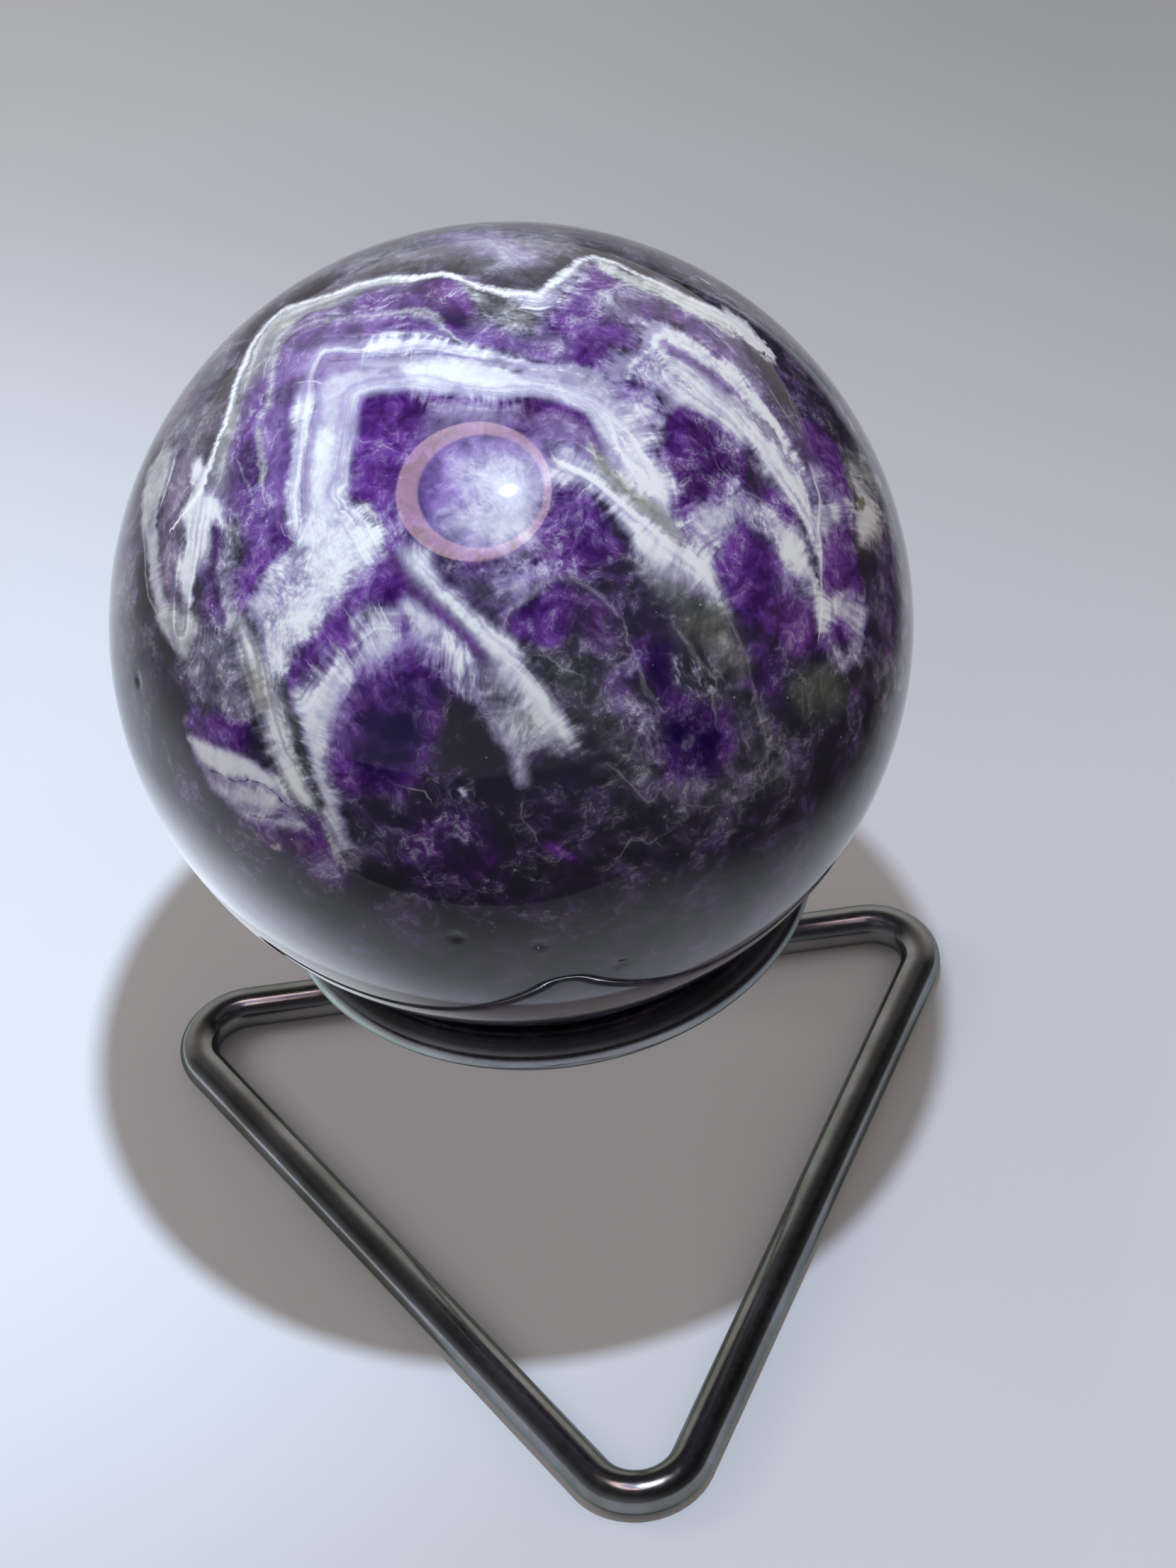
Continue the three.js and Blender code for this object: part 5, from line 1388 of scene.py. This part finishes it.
def painted_front_reflection_material():
    """Painted reflection, only mirrored: the dark beyond the paper's front edge, and painted shade on the paper before
    it.
    """
    material, tree = new_material("painted_dark_front_reflection")
    along = add(tree, SPLIT, {0: add(tree, "ShaderNodeTexCoord").outputs["Object"]}).outputs[1]
    edge = 4.0 - PAPER_FRONT_FADE
    # Painted shade: the mirrored paper dims by up to 0.6 towards its front edge
    dim = add(
        tree, RANGE, {"Value": along, "From Min": edge, "From Max": 4.0, "To Min": 0.6, "To Max": 0.0},
        interpolation_type="SMOOTHSTEP",
    ).outputs[0]
    # Beyond the edge the painted reflection of the dark table is at full strength
    dark = add(
        tree, RANGE,
        {"Value": along, "From Min": edge - 0.5 * MM, "From Max": edge + 0.5 * MM, "To Min": 1.0, "To Max": 0.0},
    ).outputs[0]
    share = add(tree, MATH, {0: dim, 1: dark}, operation="MAXIMUM").outputs[0]
    # The painted reflection glows with a fixed dark colour; no lamp lights it
    glow = add(tree, "ShaderNodeEmission", {"Color": linear("#241F22"), "Strength": 1.0})
    clear = add(tree, "ShaderNodeBsdfTransparent")
    mixed = add(tree, "ShaderNodeMixShader", {0: share, 1: clear.outputs[0], 2: glow.outputs[0]})
    add(tree, "ShaderNodeOutputMaterial", {"Surface": mixed.outputs[0]})
    return material


def painted_bright_reflection_material():
    """Painted reflection, only mirrored: a glowing disc for the paper where the lamp's light is thrown back, brightest
    in the middle.
    """
    material, tree = new_material("painted_bright_paper_reflection")
    place = add(tree, "ShaderNodeTexCoord").outputs["Object"]
    reach = add(tree, VECTOR_MATH, {0: place}, operation="LENGTH").outputs["Value"]
    strength = add(
        tree, RANGE, {"Value": reach, "From Min": 8 * MM, "From Max": PAINTED_BRIGHT_RADIUS, "To Min": 1.1, "To Max": 0.0},
        interpolation_type="SMOOTHSTEP",
    ).outputs[0]
    # The rods stand in the ball's shadow and mirror none of it, so it only shows from farther off.
    away = add(
        tree, RANGE,
        {"Value": add(tree, "ShaderNodeLightPath").outputs["Ray Length"], "From Min": 14 * MM, "From Max": 22 * MM},
    ).outputs[0]
    strength = add(tree, MATH, {0: strength, 1: away}, operation="MULTIPLY").outputs[0]
    # The painted reflection glows; no lamp lights it
    glow = add(tree, "ShaderNodeEmission", {"Color": linear("#EAF2FF"), "Strength": strength})
    both = add(tree, "ShaderNodeAddShader", {0: add(tree, "ShaderNodeBsdfTransparent").outputs[0], 1: glow.outputs[0]})
    add(tree, "ShaderNodeOutputMaterial", {"Surface": both.outputs[0]})
    return material


def painted_right_reflection_material():
    """Painted reflection, only mirrored: glowing paper that fades into the dark at the right."""
    material, tree = new_material("painted_dark_corner_reflection")
    across = add(tree, SPLIT, {0: add(tree, "ShaderNodeTexCoord").outputs["Object"]}).outputs[0]
    share = add(
        tree, RANGE, {"Value": across, "From Min": -4.0, "From Max": -4.0 + PAPER_RIGHT_FADE},
        interpolation_type="SMOOTHSTEP",
    ).outputs[0]
    # Painted reflection: a pale grey glow that darkens towards the right
    tint = add(tree, MIX, {0: share, MIX_A: linear("#B6BCC8"), MIX_B: linear("#2A262A")}, data_type="RGBA").outputs[2]
    shader = add(tree, "ShaderNodeEmission", {"Color": tint, "Strength": 1.0})
    add(tree, "ShaderNodeOutputMaterial", {"Surface": shader.outputs[0]})
    return material


def lamp_face_material():
    """The lamp's frosted face and its pink plastic rim, lit by the lamp."""
    material, tree = new_material("lamp_face")
    place = add(tree, "ShaderNodeTexCoord").outputs["Object"]
    inner = add(tree, VECTOR_MATH, {0: place, 1: (RIM_INNER_SHIFT, 0, 0)}, operation="SUBTRACT").outputs[0]
    reach = add(tree, VECTOR_MATH, {0: inner}, operation="LENGTH").outputs["Value"]
    rim = add(
        tree, RANGE, {"Value": reach, "From Min": RIM_INNER_RADIUS - 1.5 * MM, "From Max": RIM_INNER_RADIUS + 1.5 * MM}
    ).outputs[0]
    from_lamp = add(tree, VECTOR_MATH, {0: place, 1: FACE_FROM_LAMP * -1}, operation="SUBTRACT").outputs[0]
    flat = add(tree, VECTOR_MATH, {0: from_lamp, 1: (1, 1, 0)}, operation="MULTIPLY").outputs[0]
    near_lamp = add(tree, VECTOR_MATH, {0: flat}, operation="LENGTH").outputs["Value"]
    glow = add(
        tree, RANGE, {"Value": near_lamp, "From Min": 10 * MM, "From Max": 34 * MM, "To Min": 3.0, "To Max": 1.1},
        interpolation_type="SMOOTHERSTEP",
    ).outputs[0]
    tint = add(tree, MIX, {0: rim, MIX_A: linear("#B9C9FF"), MIX_B: linear("#FFDAD4")}, data_type="RGBA").outputs[2]
    strength = add(tree, MIX, {0: rim, 2: glow, 3: 6.2}).outputs[0]
    shader = add(tree, "ShaderNodeEmission", {"Color": tint, "Strength": strength})
    add(tree, "ShaderNodeOutputMaterial", {"Surface": shader.outputs[0]})
    return material


def add_disc_light(name, place, aim, diameter, power, hex_colour, mirrored):
    """A round lamp that shines from a place to an aim."""
    bpy.ops.object.light_add(type="AREA", location=place, rotation=(aim - place).to_track_quat("-Z", "Y").to_euler())
    lamp = bpy.context.object
    lamp.name = name
    lamp.data.shape = "DISK"
    lamp.data.size = diameter
    lamp.data.energy = power
    lamp.data.color = linear(hex_colour)[:3]
    lamp.visible_glossy = mirrored
    return lamp


def only_mirrored(piece):
    """Only the polished pieces mirror it: it lights nothing and the camera doesn't see it."""
    piece.visible_camera = False
    piece.visible_diffuse = False
    piece.visible_transmission = False
    piece.visible_volume_scatter = False
    piece.visible_shadow = False


class AMETHYST_OT_add_stage(bpy.types.Operator):
    """Adds the paper, the lamp and the camera of the photograph"""

    bl_idname = "amethyst.add_stage"
    bl_label = "Add Stage"

    def execute(self, context):
        stage = context.scene.amethyst_stage
        start_piece()
        bpy.ops.mesh.primitive_plane_add(size=8.0, location=(0, 0, 0))
        paper = bpy.context.object
        paper.name = "paper"
        paper.data.materials.append(paper_material(stage))

        # A painted reflection for the polished pieces: the dark table in front of the paper's edge, with painted shade
        # dimming the paper towards it
        start_piece()
        ahead = Vector((math.sin(PAPER_FRONT_TURN), -math.cos(PAPER_FRONT_TURN), 0))
        painted_front_reflection_place = AXIS + ahead * (PAPER_FRONT_EDGE - PAPER_FRONT_FADE + 4.0) + Vector((0, 0, 0.4 * MM))
        bpy.ops.mesh.primitive_plane_add(size=8.0, location=painted_front_reflection_place, rotation=(0, 0, PAPER_FRONT_TURN))
        dark = bpy.context.object
        dark.name = "painted_dark_reflection_in_front"
        dark.data.materials.append(painted_front_reflection_material())
        only_mirrored(dark)

        # A painted reflection for the polished pieces: the paper darkening towards the dark beyond its right edge
        start_piece()
        aside = Vector((math.cos(PAPER_RIGHT_TURN), math.sin(PAPER_RIGHT_TURN), 0))
        painted_right_reflection_place = AXIS + aside * (PAPER_RIGHT_EDGE + 4.0) + Vector((0, 0, 0.3 * MM))
        bpy.ops.mesh.primitive_plane_add(size=8.0, location=painted_right_reflection_place, rotation=(0, 0, PAPER_RIGHT_TURN))
        beside = bpy.context.object
        beside.name = "painted_dark_reflection_at_the_right"
        beside.data.materials.append(painted_right_reflection_material())
        only_mirrored(beside)

        # A painted reflection for the polished pieces: bright glowing paper at the left
        start_piece()
        bpy.ops.mesh.primitive_circle_add(
            vertices=48, radius=PAINTED_BRIGHT_RADIUS, fill_type="NGON", location=AXIS + PAINTED_BRIGHT_PLACE
        )
        bright = bpy.context.object
        bright.name = "painted_bright_paper_reflection"
        bright.data.materials.append(painted_bright_reflection_material())
        only_mirrored(bright)

        # The lamp's face, with its pink rim
        start_piece()
        lamp_place = AXIS + LAMP
        bpy.ops.mesh.primitive_circle_add(
            vertices=96, radius=FACE_RADIUS, fill_type="NGON", location=lamp_place + FACE_FROM_LAMP
        )
        face = bpy.context.object
        face.name = "lamp_face"
        face.data.materials.append(lamp_face_material())
        only_mirrored(face)

        beam_aim = AXIS + BEAM_AIM
        add_disc_light("lamp", lamp_place, beam_aim, LAMP_DIAMETER, stage.key_power, "#D6E5FB", True)
        turn = (beam_aim - lamp_place).to_track_quat("-Z", "Y").to_euler()
        bpy.ops.object.light_add(type="SPOT", location=lamp_place, rotation=turn)
        beam = bpy.context.object
        beam.name = "lamp_beam"
        beam.data.energy = 1.65
        beam.data.spot_size = math.radians(38)
        beam.data.spot_blend = 1.0
        beam.data.shadow_soft_size = LAMP_DIAMETER / 2
        beam.data.color = linear("#CFEAFF")[:3]
        beam.visible_glossy = False
        window = AXIS + Vector((-150, 40, 120)) * MM
        add_disc_light("window", window, AXIS, 100 * MM, stage.fill_power, "#F6F0F0", False)

        beside_it = AXIS + Vector((120, -40, 110)) * MM
        side_aim = AXIS + Vector((40, -10, 0)) * MM
        side = add_disc_light("room_at_the_right", beside_it, side_aim, 100 * MM, stage.side_power, "#FFEFE6", False)
        side.data.use_shadow = False

        world = bpy.data.worlds.new("room")
        context.scene.world = world
        world.use_nodes = True
        tree = world.node_tree
        tree.nodes.clear()
        path = add(tree, "ShaderNodeLightPath")
        side, behind, up = add(tree, SPLIT, {0: add(tree, "ShaderNodeTexCoord").outputs["Generated"]}).outputs
        height = add(tree, RANGE, {"Value": up, "From Min": 0.0, "From Max": 0.55}).outputs[0]
        mirrored = add(
            tree, MIX, {0: height, MIX_A: linear("#85878C"), MIX_B: linear("#3A3A3E")}, data_type="RGBA"
        ).outputs[2]
        left = add(tree, RANGE, {"Value": side, "From Min": -0.6, "From Max": 0.7, "To Min": 1.2, "To Max": 0.3}).outputs[0]
        mirrored = add(tree, VECTOR_MATH, {0: mirrored, "Scale": left}, operation="SCALE").outputs[0]
        wall = add(tree, RANGE, {"Value": behind, "From Min": 0.35, "From Max": 0.75}).outputs[0]
        top = add(tree, RANGE, {"Value": up, "From Min": 0.55, "From Max": 0.85, "To Min": 1.0, "To Max": 0.0}).outputs[0]
        wall = add(tree, MATH, {0: wall, 1: top}, operation="MULTIPLY").outputs[0]
        mirrored = add(tree, MIX, {0: wall, MIX_A: mirrored, MIX_B: linear("#CDC8C2")}, data_type="RGBA").outputs[2]
        lit = [part * stage.room for part in linear("#FDF1EE")[:3]] + [1.0]
        seen = add(tree, MIX, {0: path.outputs["Is Glossy Ray"], MIX_A: lit, MIX_B: mirrored}, data_type="RGBA").outputs[2]
        back = add(tree, "ShaderNodeBackground", {"Color": seen, "Strength": 1.0})
        add(tree, "ShaderNodeOutputWorld", {"Surface": back.outputs[0]})

        bpy.ops.object.camera_add(location=CAMERA)
        camera = bpy.context.object
        camera.name = "camera"
        turn = Matrix((RIGHT, -DOWN, -FORWARD)).transposed()
        camera.rotation_euler = turn.to_euler()
        camera.data.sensor_width = SENSOR_LONG_SIDE
        camera.data.lens = SENSOR_LONG_SIDE * FOCAL_PIXELS / PHOTO_HEIGHT
        camera.data.clip_start = 0.01
        camera.data.clip_end = 50.0
        context.scene.camera = camera
        context.scene.view_settings.view_transform = "Standard"
        return {"FINISHED"}


class AMETHYST_PT_panel(bpy.types.Panel):
    """Lists the pieces and their settings"""

    bl_idname = "AMETHYST_PT_panel"
    bl_label = "Amethyst Ball"
    bl_space_type = "VIEW_3D"
    bl_region_type = "UI"
    bl_category = "Amethyst"

    def draw(self, context):
        for settings, operators in PANEL_ROWS:
            group = getattr(context.scene, settings)
            for name in group.bl_rna.properties.keys():
                if name not in ("rna_type", "name"):
                    self.layout.prop(group, name)
            for operator in operators:
                self.layout.operator(operator)


PANEL_ROWS = (
    ("amethyst_stone", ("amethyst.add_ball",)),
    ("amethyst_stand", ("amethyst.add_ring", "amethyst.add_upright", "amethyst.add_base")),
    ("amethyst_stage", ("amethyst.add_stage",)),
)
SETTINGS = (
    ("amethyst_stone", StoneSettings),
    ("amethyst_stand", StandSettings),
    ("amethyst_stage", StageSettings),
)
CLASSES = (
    StoneSettings,
    StandSettings,
    StageSettings,
    AMETHYST_OT_add_ball,
    AMETHYST_OT_add_ring,
    AMETHYST_OT_add_upright,
    AMETHYST_OT_add_base,
    AMETHYST_OT_add_stage,
    AMETHYST_PT_panel,
)


def register():
    for made in CLASSES:
        bpy.utils.register_class(made)
    for name, group in SETTINGS:
        setattr(bpy.types.Scene, name, PointerProperty(type=group))


def unregister():
    for name, group in SETTINGS:
        delattr(bpy.types.Scene, name)
    for made in reversed(CLASSES):
        bpy.utils.unregister_class(made)


def main():
    register()
    bpy.ops.amethyst.add_ball()
    bpy.ops.amethyst.add_ring()
    bpy.ops.amethyst.add_upright()
    bpy.ops.amethyst.add_base()
    bpy.ops.amethyst.add_stage()


if __name__ == "__main__":
    main()
